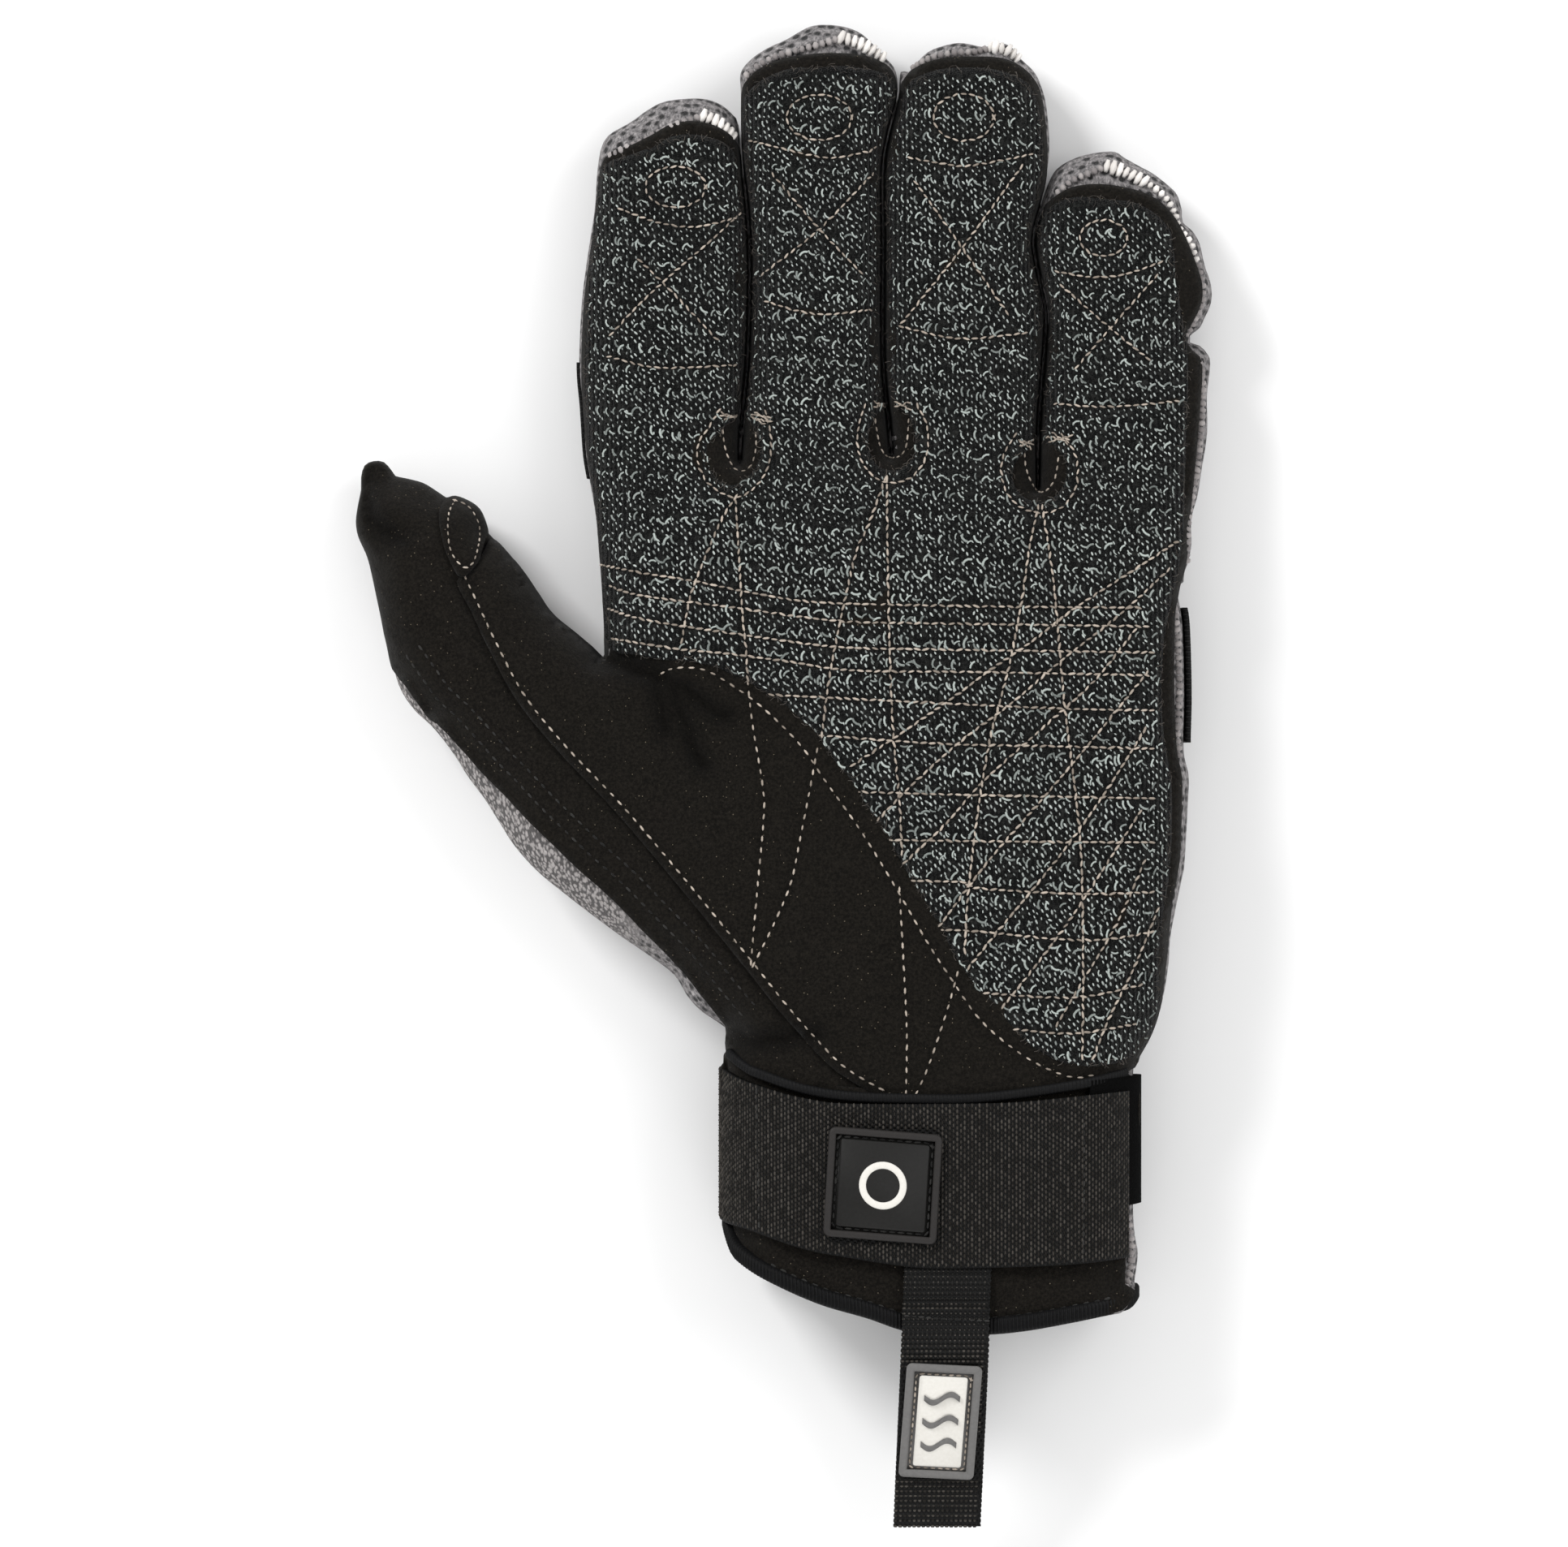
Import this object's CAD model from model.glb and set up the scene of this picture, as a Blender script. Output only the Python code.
# %% [markdown]
# # A water ski glove, lying palm up
# The glove is a stack of soft layers: a grey spacer-mesh back that rolls over the fingertips,
# black suede on the palm side, a charcoal knit sewn over the palm with beige thread, and a
# webbing strap round the wrist. The model that this script loads gives the real sizes, and
# every piece below stands for one of its nodes. One outline of the glove, inflated like a
# pillow, carries all the layers, so that they follow each other on every side.

# %% The frame and its sizes
import math

import bmesh
import bpy
import numpy as np
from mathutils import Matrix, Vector, noise
from mathutils.bvhtree import BVHTree
from mathutils.geometry import delaunay_2d_cdt


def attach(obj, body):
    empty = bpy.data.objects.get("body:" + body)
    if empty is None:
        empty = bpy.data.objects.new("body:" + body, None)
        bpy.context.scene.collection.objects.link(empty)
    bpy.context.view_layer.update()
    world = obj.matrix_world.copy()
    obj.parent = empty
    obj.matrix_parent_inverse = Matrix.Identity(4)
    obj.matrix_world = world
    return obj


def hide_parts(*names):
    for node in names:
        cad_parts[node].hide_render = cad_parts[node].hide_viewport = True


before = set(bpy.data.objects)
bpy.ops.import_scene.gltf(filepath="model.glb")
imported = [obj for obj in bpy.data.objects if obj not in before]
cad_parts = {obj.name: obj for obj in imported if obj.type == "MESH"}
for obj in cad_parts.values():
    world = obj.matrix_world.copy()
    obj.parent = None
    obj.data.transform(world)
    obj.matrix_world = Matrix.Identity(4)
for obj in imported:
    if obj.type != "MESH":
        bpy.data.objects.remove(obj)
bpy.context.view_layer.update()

MM = 0.001

# %% [markdown]
# ## Places read off the photograph
# The camera looks straight down on the palm, so a place in the photograph is a place in plan.
# One scale turns a picture point into millimetres. A smooth curve through a few hand-picked
# points gives each outline and each line of sewing.

# %% From picture points to millimetres
PHOTO_CENTRE = np.array([965.5, 952.5])
MM_PER_PIXEL = 0.15


def plan(points):
    """Picture points as millimetres in the frame; any further columns stay as they are."""
    rows = np.array(points, dtype=float)
    rows[:, 0] = (rows[:, 0] - PHOTO_CENTRE[0]) * MM_PER_PIXEL
    rows[:, 1] = (PHOTO_CENTRE[1] - rows[:, 1]) * MM_PER_PIXEL
    return rows


def picture_x(column):
    """The X in millimetres of a column of the picture."""
    return plan([(column, 0)])[0, 0]


def picture_y(row):
    """The Y in millimetres of a row of the picture."""
    return plan([(0, row)])[0, 1]


def smooth_line(rows, step, closed=False):
    """A Catmull-Rom curve through the rows, with a point about every step millimetres."""
    count = len(rows)
    pieces = []
    for i in range(count if closed else count - 1):
        if closed:
            p0, p1, p2, p3 = (rows[(i + k) % count] for k in (-1, 0, 1, 2))
        else:
            p0, p1 = rows[max(i - 1, 0)], rows[i]
            p2, p3 = rows[i + 1], rows[min(i + 2, count - 1)]
        length = np.linalg.norm((p2 - p1)[:2])
        t = np.linspace(0, 1, max(2, int(round(length / step)) + 1))[:-1, None]
        pieces.append(0.5 * (2 * p1 + (p2 - p0) * t + (2 * p0 - 5 * p1 + 4 * p2 - p3) * t**2
                             + (3 * p1 - p0 - 3 * p2 + p3) * t**3))
    if not closed:
        pieces.append(rows[-1:])
    return np.concatenate(pieces)


# %% [markdown]
# ## The glove's edge
# This is the silhouette, from the hem's left end over the thumb and the fingers to its right
# end. Each point also says how far in the cloth takes to round over: a few millimetres in the
# slits between the fingers, more along the hand.

# %% The edge, part by part
EDGE_STEP = 0.9


def edge_part(radius, points):
    """Picture points with the rounding radius in millimetres that they share."""
    return [(x, y, radius) for x, y in points]


WRIST_LEFT = edge_part(12, [
    (905, 1540), (901, 1515), (899, 1480), (897, 1400), (895, 1330), (893, 1298), (897, 1272), (882, 1258),
])
THUMB_OUTER = edge_part(13, [
    (864, 1246), (847, 1228), (830, 1201), (799, 1177), (764, 1153), (730, 1128), (695, 1101), (661, 1073),
    (633, 1042), (613, 1011), (596, 984), (575, 956), (558, 929), (534, 898), (509, 874), (492, 849),
    (482, 818),
])
THUMB_TIP = edge_part(7, [
    (476, 790), (466, 748), (458, 711), (451, 684), (440, 659), (437, 641), (439, 623), (443, 601),
    (443, 586), (447, 572), (457, 567), (469, 568), (478, 578), (483, 585), (500, 589), (518, 594),
    (533, 603), (547, 612), (555, 611), (573, 616), (587, 626), (594, 641), (597, 655), (604, 662),
])
THUMB_INNER = edge_part(10, [
    (628, 685), (646, 707), (662, 731), (680, 756), (708, 779), (726, 794), (742, 808),
])
INDEX_SIDE = edge_part(10, [
    (743, 790), (742, 736), (737, 682), (733, 635), (726, 594), (720, 558), (716, 500), (712, 449),
    (715, 373), (722, 315), (731, 256), (734, 212), (738, 183), (744, 168), (753, 159), (776, 146),
    (797, 131), (817, 121), (847, 117), (870, 118), (888, 125), (902, 137), (909, 150),
])
MIDDLE_TIP = edge_part(9, [
    (913, 150), (912, 108), (912, 85), (924, 69), (944, 55), (968, 44), (997, 28), (1021, 25.5), (1044, 29),
    (1062, 37), (1079, 53), (1091, 66), (1104, 84),
])
RING_TIP = edge_part(9, [
    (1110, 84), (1120, 84), (1135, 67), (1150, 56), (1182, 48), (1214, 53), (1232, 48), (1247, 53),
    (1258, 67), (1276, 85), (1286, 108), (1291, 132), (1294, 176), (1290, 214),
])
LITTLE_SIDE = edge_part(9, [
    (1297, 213), (1310, 199), (1331, 189), (1353, 184), (1375, 183), (1388, 191), (1406, 201), (1424, 211),
    (1445, 228), (1453, 238), (1458, 256), (1459, 270), (1471, 281), (1480, 297), (1486, 323), (1494, 348),
    (1494, 370), (1486, 389), (1480, 401), (1468, 411), (1468, 419), (1480, 423), (1490, 434), (1493, 446),
    (1489, 485), (1489, 531), (1482, 577), (1477, 608), (1469, 638), (1469, 669), (1465, 690), (1460, 705),
    (1459, 716), (1453, 720), (1452, 733),
])
HAND_RIGHT = edge_part(13, [
    (1457, 760), (1459, 800), (1460, 860), (1459, 924), (1465, 955), (1464, 990), (1460, 1061),
    (1457, 1080), (1449, 1118), (1442, 1156), (1440, 1187), (1434, 1225), (1426, 1256), (1411, 1287),
    (1398, 1310), (1396, 1340), (1396, 1400), (1396, 1480), (1398, 1520), (1402, 1545), (1398, 1579),
])

# %% The slits between the fingers, as two sides of one centre line
SLIT_HALF = 0.9
SLIT_RADIUS = 5.5
FIRST_SLIT = [(914, 200), (921, 270), (923, 340), (920, 440), (913, 520), (911, 566)]
SECOND_SLIT = [(1106, 117), (1095, 160), (1088, 205), (1088, 300), (1088, 440), (1095, 520), (1098, 558)]
THIRD_SLIT = [
    (1284, 245), (1274, 293), (1282, 345), (1289, 381), (1288, 420), (1285, 458), (1280, 525), (1279, 600),
]


def slit(centre):
    """Down the left side of a slit, round its foot and up the right side."""
    left = [(x - SLIT_HALF, y) for x, y in centre[:-1]]
    right = [(x + SLIT_HALF, y) for x, y in centre[:-1]]
    return edge_part(SLIT_RADIUS, [*left, centre[-1], *right[::-1]])


HEM = [
    (1396, 1594), (1385, 1609), (1367, 1616), (1322, 1625), (1267, 1635), (1219, 1640), (1165, 1641),
    (1115, 1636), (1067, 1620), (1015, 1605), (971, 1587), (934, 1568), (910, 1550),
]
edge_rows = plan([
    *WRIST_LEFT, *THUMB_OUTER, *THUMB_TIP, *THUMB_INNER, *INDEX_SIDE, *slit(FIRST_SLIT), *MIDDLE_TIP,
    *slit(SECOND_SLIT), *RING_TIP, *slit(THIRD_SLIT), *LITTLE_SIDE, *HAND_RIGHT,
])
edge = smooth_line(edge_rows, EDGE_STEP)
hem = smooth_line(plan([HAND_RIGHT[-1][:2], *HEM, WRIST_LEFT[0][:2]]), EDGE_STEP)[1:-1]
glove_outline = np.concatenate([edge[:, :2], hem])
print("edge points:", len(edge), "hem points:", len(hem))

# %% [markdown]
# ## The pillow
# A point's height follows from its distance to the edge: at the edge the cloth is half-way up,
# and it rounds over to the top, or down to the bottom, within the rounding radius. Short tables
# give the top and the bottom along the hand and along the thumb, the same as in the model.

# %% Heights along the hand and the thumb, in millimetres
HAND_LEVELS = np.array([
    # y, bottom, top
    (-112, 3, 29), (-88, 3, 30), (-55, 3, 31), (-47, 2.6, 31), (-25, 1.6, 31), (-8, 1.6, 30), (21, 1.6, 28),
    (32, 1.6, 27), (47, 1.6, 24.5), (58, 0.6, 22), (65, 0, 21), (77, 0, 20), (108, 0, 19.5), (120, 0, 18.8),
    (131, 0.5, 18), (140, 1, 17),
])
THUMB_LEVELS = np.array([
    # y, bottom, top
    (-10, 1.4, 28.8), (5, 0.8, 28), (14, 0.2, 27), (26, 0, 25.5), (35, 0, 23), (43, 0, 20), (49, 0.3, 17),
    (53, 0.8, 14.5), (58, 3, 12),
])
THUMB_STARTS_X = -38.5
THUMB_FULL_X = -58


def levels(points):
    """Bottom and top of the glove at plan points."""
    x, y = points[:, 0], points[:, 1]
    share = np.clip((THUMB_STARTS_X - x) / (THUMB_STARTS_X - THUMB_FULL_X), 0, 1)
    share = share * share * (3 - 2 * share)
    both = []
    for column in (1, 2):
        hand = np.interp(y, HAND_LEVELS[:, 0], HAND_LEVELS[:, column])
        thumb = np.interp(y, THUMB_LEVELS[:, 0], THUMB_LEVELS[:, column])
        both.append(hand * (1 - share) + thumb * share)
    return both


# How many points are measured at a time, to keep the tables small
BLOCK = 1500


def line_distance(points, line, values=None):
    """Distance from each point to a polyline, and the line's value at the nearest place."""
    a, b = line[:-1, :2], line[1:, :2]
    run = b - a
    squared = np.maximum((run**2).sum(1), 1e-12)
    distance = np.empty(len(points))
    value = np.zeros(len(points))
    for start in range(0, len(points), BLOCK):
        here = points[start:start + BLOCK, None, :2] - a[None]
        t = np.clip((here * run[None]).sum(2) / squared, 0, 1)
        gap = ((here - run[None] * t[..., None])**2).sum(2)
        nearest = gap.argmin(1)
        distance[start:start + BLOCK] = np.sqrt(gap[np.arange(len(gap)), nearest])
        if values is not None:
            part = t[np.arange(len(gap)), nearest]
            value[start:start + BLOCK] = values[nearest] * (1 - part) + values[nearest + 1] * part
    return distance, value


def blurred(values, reach):
    """A running mean along a line, so that one part's radius eases into the next."""
    padded = np.pad(values, reach, mode="edge")
    return np.convolve(padded, np.ones(2 * reach + 1) / (2 * reach + 1), mode="valid")


EDGE_BLEND = 7
BOTTOM_FULLNESS = 1.15
edge_radius = blurred(edge[:, 2], EDGE_BLEND)


def pillow(points, side):
    """Height in millimetres of the glove's top or bottom at plan points."""
    distance, radius = line_distance(points, edge, edge_radius)
    low, high = levels(points)
    middle = (low + high) / 2
    rise = np.sqrt(1 - (1 - np.clip(distance / radius, 0, 1))**2)
    if side == "top":
        return middle + (high - middle) * rise
    return middle - (middle - low) * np.minimum(1, BOTTOM_FULLNESS * rise)


# %% [markdown]
# ## Sheets over a plan
# Every layer is a flat plan filled with small triangles and then lifted to the pillow. A
# constrained Delaunay fill keeps the outline exact and the inside even. Lines of sewing are
# pressed in, edges are rolled down a little, and a slow noise adds the slack of real cloth.

# %% Filling a plan with triangles
def inside(points, loop):
    """Which points lie inside a closed loop."""
    x, y = points[:, 0], points[:, 1]
    result = np.zeros(len(points), dtype=bool)
    ends = np.roll(loop[:, :2], -1, axis=0)
    for (ax, ay), (bx, by) in zip(loop[:, :2], ends):
        if ay == by:
            continue
        crosses = (ay > y) != (by > y)
        result ^= crosses & (x < (bx - ax) * (y - ay) / (by - ay) + ax)
    return result


def closed(loop):
    return np.concatenate([loop, loop[:1]])


def beside(line, offset):
    """The line moved sideways, to the right of its direction for a positive offset."""
    run = np.gradient(line[:, :2], axis=0)
    run /= np.maximum(np.linalg.norm(run, axis=1, keepdims=True), 1e-9)
    return line[:, :2] + np.stack([run[:, 1], -run[:, 0]], axis=1) * offset


# The height of a row of even triangles, and the room left beside an outline, as shares
ROW_SHARE = 0.866
GRID_ROOM = 0.55
EXTRA_ROOM = 0.8


def within(points, outer, holes):
    """Which points lie inside the outer loop and outside every hole."""
    keep = inside(points, outer)
    for hole in holes:
        keep &= ~inside(points, hole)
    return keep


def with_room(points, outer, holes, room):
    """The points that lie within a plan, farther than room from its outlines."""
    points = points[within(points, outer, holes)]
    for loop in (outer, *holes):
        distance, _ = line_distance(points, closed(loop))
        points = points[distance > room]
    return points


def fill(outer, holes, spacing, extra=()):
    """Points and triangles that fill a plan; extra points are added where they fit."""
    low, high = outer.min(0) - spacing, outer.max(0) + spacing
    grid = []
    for i, y in enumerate(np.arange(low[1], high[1], spacing * ROW_SHARE)):
        x = np.arange(low[0] + (i % 2) * spacing / 2, high[0], spacing)
        grid.append(np.stack([x, np.full(len(x), y)], axis=1))
    grid = with_room(np.concatenate(grid), outer, holes, spacing * GRID_ROOM)
    for points, room in extra:
        grid = np.concatenate([with_room(points, outer, holes, room * EXTRA_ROOM), grid])
    corners, edges = [], []
    for loop in (outer, *holes):
        first = len(corners)
        corners.extend(loop[:, :2])
        edges.extend((first + i, first + (i + 1) % len(loop)) for i in range(len(loop)))
    corners.extend(grid)
    corners = [Vector(map(float, c)) for c in corners]
    verts, _, faces, *_ = delaunay_2d_cdt(corners, edges, [], 0, 1e-6)
    verts = np.array([tuple(v) for v in verts])
    faces = np.array([tuple(f) for f in faces])
    faces = faces[within(verts[faces].mean(1), outer, holes)]
    used = np.unique(faces)
    renumber = np.full(len(verts), -1)
    renumber[used] = np.arange(len(used))
    return verts[used], renumber[faces]


# %% Lifting a plan to the glove
def relaxed(values, faces, rounds, free):
    """Each free vertex's value moves to the mean of its neighbours', a few times."""
    pairs = np.concatenate([faces[:, [0, 1]], faces[:, [1, 2]], faces[:, [2, 0]]])
    pairs = np.concatenate([pairs, pairs[:, ::-1]])
    count = np.bincount(pairs[:, 0], minlength=len(values))
    for _ in range(rounds):
        total = np.bincount(pairs[:, 0], weights=values[pairs[:, 1]], minlength=len(values))
        values = np.where(free, 0.5 * values + 0.5 * total / np.maximum(count, 1), values)
    return values


def slow_noise(points, size, seed):
    """Smooth noise from -1 to 1 over a few millimetres."""
    return np.array([noise.noise(Vector((x / size, y / size, seed))) for x, y in points])


def pressed(points, lines, width):
    """How close each point is to a set of lines, from 0 to 1."""
    near = np.zeros(len(points))
    for line in lines:
        low, high = line.min(0)[:2] - 3 * width, line.max(0)[:2] + 3 * width
        local = np.flatnonzero(((points > low) & (points < high)).all(1))
        if len(local):
            distance, _ = line_distance(points[local], line)
            near[local] = np.maximum(near[local], np.exp(-(distance / width)**2))
    return near


def mesh_object(name, verts, faces, material):
    """A smooth-shaded mesh object from places in millimetres."""
    mesh = bpy.data.meshes.new(name)
    places = [(x * MM, y * MM, z * MM) for x, y, z in verts]
    mesh.from_pydata(places, [], [tuple(map(int, f)) for f in faces])
    mesh.update()
    mesh.polygons.foreach_set("use_smooth", [True] * len(mesh.polygons))
    made = bpy.data.objects.new(name, mesh)
    bpy.context.scene.collection.objects.link(made)
    mesh.materials.append(material)
    return made


def facing(faces, verts, up):
    """Triangles turned so that they face up, or down."""
    a, b, c = (verts[faces[:, k], :2] for k in range(3))
    turn = (b - a)[:, 0] * (c - a)[:, 1] - (b - a)[:, 1] * (c - a)[:, 0]
    wrong = (turn < 0) if up else (turn > 0)
    faces = faces.copy()
    faces[wrong] = faces[wrong][:, ::-1]
    return faces


def walled(made, thickness):
    """Gives a sheet its thickness, inwards."""
    wall = made.modifiers.new("thickness", "SOLIDIFY")
    wall.thickness = thickness * MM
    wall.offset = -1
    return made


# Rings of points just inside the edge, where the cloth turns over
EDGE_RINGS = [(beside(edge, inset), inset) for inset in (0.3, 0.8, 1.5)]
OPEN_SIDE_RISE = 2.5


def sideways(points, faces, height, reach):
    """Moves the points near the glove's edge outwards by up to reach, but not in the slits."""
    corners = np.column_stack([points, height])[faces]
    normals = np.cross(corners[:, 1] - corners[:, 0], corners[:, 2] - corners[:, 0])
    normals *= np.sign(normals[:, 2:])
    total = np.zeros((len(points), 3))
    for k in range(3):
        np.add.at(total, faces[:, k], normals)
    total /= np.maximum(np.linalg.norm(total, axis=1, keepdims=True), 1e-12)
    _, radius = line_distance(points, edge, edge_radius)
    open_side = np.clip((radius - SLIT_RADIUS) / OPEN_SIDE_RISE, 0, 1)[:, None]
    return points + total[:, :2] * reach * open_side


RELAX_ROUNDS = 6
RELAX_FROM = 1.2
WAVE_SIZE, RIPPLE_SIZE, RIPPLE_SHARE = 11, 4, 0.4
PRESS_FROM = 2.2
ROLL_REACH = 1.6


def sheet(name, outer, spacing, lift, thickness, material, press=(), roll=0.0, slack=0.3, seed=0.0, out=0.0):
    """A layer of cloth on the palm side. press holds (lines, width, depth)."""
    points, faces = fill(outer, [], spacing, EDGE_RINGS)
    height = pillow(points, "top")
    distance, _ = line_distance(points, edge)
    height = relaxed(height, faces, RELAX_ROUNDS, distance > RELAX_FROM)
    placed = sideways(points, faces, height, out)
    ripples = RIPPLE_SHARE * slack * slow_noise(points, RIPPLE_SIZE, seed + 5)
    height += lift + slack * slow_noise(points, WAVE_SIZE, seed) + ripples
    crease = np.zeros(len(points))
    for lines, width, depth in press:
        near = pressed(points, lines, width) * np.clip(distance / PRESS_FROM, 0, 1)
        height -= depth * near
        crease = np.maximum(crease, near * min(1, depth))
    if roll:
        rim, _ = line_distance(points, closed(outer))
        height -= roll * np.clip(1 - rim / (ROLL_REACH * roll), 0, 1)**2
    verts = np.column_stack([placed, height])
    made = mesh_object(name, verts, facing(faces, verts, True), material)
    made.data.attributes.new("crease", "FLOAT", "POINT").data.foreach_set("value", crease)
    print(name, "triangles:", len(faces))
    return walled(made, thickness)


# %% [markdown]
# ## Finishes
# Each finish is a small node tree on Object coordinates, in millimetres, so that its weave has
# the real scale. A bump on the same pattern as the colour makes threads stand out of the gaps.

# %% A short way to write node trees
def add(tree, kind, settings=None, **inputs):
    """One node, its settings and its inputs: a socket is linked, a value is set."""
    made = tree.nodes.new(kind)
    for key, value in (settings or {}).items():
        setattr(made, key, value)
    for key, value in inputs.items():
        socket = made.inputs[int(key[1:]) if key[1:].isdigit() else key.replace("_", " ")]
        if isinstance(value, bpy.types.NodeSocket):
            tree.links.new(value, socket)
        else:
            socket.default_value = value
    return made


def maths(tree, operation, first, second=0.0):
    return add(tree, "ShaderNodeMath", {"operation": operation}, s0=first, s1=second).outputs[0]


def blend(tree, factor, first, second):
    """A mix of two colours, each a socket or three numbers."""
    made = add(tree, "ShaderNodeMix", {"data_type": "RGBA"}, Factor=factor)
    for slot_number, value in ((6, first), (7, second)):
        if isinstance(value, bpy.types.NodeSocket):
            tree.links.new(value, made.inputs[slot_number])
        else:
            made.inputs[slot_number].default_value = (*value, 1)
    return made.outputs[2]


def ramp(tree, factor, stops):
    """A ramp of greys through (position, grey) stops."""
    made = add(tree, "ShaderNodeValToRGB", Fac=factor)
    while len(made.color_ramp.elements) < len(stops):
        made.color_ramp.elements.new(0.5)
    for element, (position, grey) in zip(made.color_ramp.elements, stops):
        element.position = position
        element.color = (grey, grey, grey, 1)
    return made.outputs[0]


def finish(name, roughness, sheen=0.0, specular=0.06):
    """A material with its tree, shader and Object coordinates in millimetres."""
    material = bpy.data.materials.new(name)
    material.use_nodes = True
    tree = material.node_tree
    shader = tree.nodes["Principled BSDF"]
    shader.inputs["Roughness"].default_value = roughness
    shader.inputs["Specular IOR Level"].default_value = specular
    if sheen:
        shader.inputs["Sheen Weight"].default_value = sheen
        shader.inputs["Sheen Roughness"].default_value = 0.5
    coordinates = add(tree, "ShaderNodeTexCoord").outputs["Object"]
    return material, tree, shader, coordinates


def scaled(tree, vector, scale, turn=0.0):
    """Coordinates in units of a pattern: scale is one over the pattern's size in metres."""
    return add(tree, "ShaderNodeMapping", Vector=vector, Scale=scale, Rotation=(0, 0, turn)).outputs[0]


PER_MM = 1000.0


def noise_at(tree, vector, sizes, detail, roughness=0.5):
    """Noise whose lumps have the given sizes in millimetres."""
    scale = tuple(PER_MM / size for size in sizes)
    return add(tree, "ShaderNodeTexNoise", Scale=1.0, Detail=detail, Roughness=roughness,
               Vector=scaled(tree, vector, scale)).outputs


def bump(tree, shader, height, depth):
    """Raises the surface by a pattern, at most depth millimetres."""
    made = add(tree, "ShaderNodeBump", Height=height, Distance=depth * MM, Strength=1.0)
    tree.links.new(made.outputs[0], shader.inputs["Normal"])


# %% Charcoal knit: a black ground of fine upright ribs with a faint grey haze
knit, tree, shader, spot = finish("charcoal_knit", 0.95, 0.05)
wales = add(tree, "ShaderNodeTexWave", {"bands_direction": "X"}, Scale=1.0, Distortion=0.6, Detail=1.0,
            Vector=scaled(tree, spot, (PER_MM / 2.65, PER_MM / 6, 0)))
rib = ramp(tree, wales.outputs["Fac"], [(0.1, 0.0), (0.8, 1.0)])
weft = add(tree, "ShaderNodeTexVoronoi", {"voronoi_dimensions": "2D"}, Scale=1.0, Randomness=0.6,
           Vector=scaled(tree, spot, (PER_MM / 0.42, PER_MM / 0.34, 0), 0.4))
stitch = ramp(tree, weft.outputs["Distance"], [(0.05, 1.0), (0.45, 0.0)])
haze = noise_at(tree, spot, (1.1, 1.1, 1.1), 5.0, 0.7)["Fac"]
fuzzy = ramp(tree, haze, [(0.48, 0.0), (0.72, 1.0)])
ground = blend(tree, maths(tree, "MULTIPLY", stitch, rib), (0.0022, 0.0024, 0.0024), (0.02, 0.021, 0.0205))
cloth = blend(tree, maths(tree, "MULTIPLY", fuzzy, 0.5), ground, (0.045, 0.046, 0.043))
tree.links.new(cloth, shader.inputs["Base Color"])
bump(tree, shader, maths(tree, "ADD", stitch, maths(tree, "MULTIPLY", rib, 1.4)), 0.2)

# %% Black suede: short nap, faint mottling, a few light fibres, darker in the creases
suede, tree, shader, spot = finish("black_suede", 0.95, 0.05)
mottle = noise_at(tree, spot, (5, 5, 5), 6.0, 0.7)["Fac"]
nap = noise_at(tree, spot, (0.55, 0.55, 0.55), 4.0, 0.75)["Fac"]
fibres = add(tree, "ShaderNodeTexVoronoi", Scale=1.0, Vector=scaled(tree, spot, (PER_MM / 0.62,) * 3))
chosen = add(tree, "ShaderNodeSeparateColor", Color=fibres.outputs["Color"]).outputs[0]
fibre = maths(tree, "MULTIPLY", maths(tree, "LESS_THAN", fibres.outputs["Distance"], 0.16),
              maths(tree, "GREATER_THAN", chosen, 0.9))
cloth = blend(tree, mottle, (0.0013, 0.0011, 0.0009), (0.0066, 0.0056, 0.0044))
grain = ramp(tree, nap, [(0.4, 0.0), (0.75, 1.0)])
cloth = blend(tree, maths(tree, "MULTIPLY", grain, 0.65), cloth, (0.021, 0.018, 0.0142))
crease = add(tree, "ShaderNodeAttribute", {"attribute_name": "crease"}).outputs["Fac"]
cloth = blend(tree, maths(tree, "MULTIPLY", fibre, 0.8), cloth, (0.15, 0.125, 0.09))
cloth = blend(tree, maths(tree, "MULTIPLY", crease, 0.6), cloth, (0.0006, 0.0005, 0.0004))
tree.links.new(cloth, shader.inputs["Base Color"])
bump(tree, shader, nap, 0.2)

# %% Grey spacer mesh: yarn that runs round rows of dark holes, and pale ribs on the thumb
THUMB_MESH_X = (-22 * MM, -32 * MM)
THUMB_MESH_Y = (34 * MM, 28 * MM)
spacer, tree, shader, spot = finish("grey_spacer_mesh", 0.9, 0.15)
drift = noise_at(tree, spot, (1.2, 1.2, 1.2), 2.0)["Color"]
warped = add(tree, "ShaderNodeVectorMath", {"operation": "MULTIPLY_ADD"},
             s0=drift, s1=(0.0007, 0.0007, 0.0007), s2=spot).outputs[0]
holes = add(tree, "ShaderNodeTexVoronoi", Scale=1.0, Randomness=0.25,
            Vector=scaled(tree, warped, (PER_MM / 1.9, PER_MM / 1.75, PER_MM / 1.9), 0.3))
hole = ramp(tree, holes.outputs["Distance"], [(0.28, 0.0), (0.46, 0.8), (0.62, 1.0)])
yarn = noise_at(tree, warped, (0.45, 1.1, 0.6), 5.0, 0.7)["Fac"]
strands = ramp(tree, yarn, [(0.38, 0.0), (0.62, 1.0)])
apart = add(tree, "ShaderNodeSeparateXYZ", Vector=spot).outputs
leftward, downward = (
    add(tree, "ShaderNodeMapRange", Value=place, From_Min=start, From_Max=end).outputs[0]
    for place, (start, end) in ((apart[0], THUMB_MESH_X), (apart[1], THUMB_MESH_Y))
)
on_thumb = maths(tree, "MULTIPLY", leftward, downward)
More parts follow.
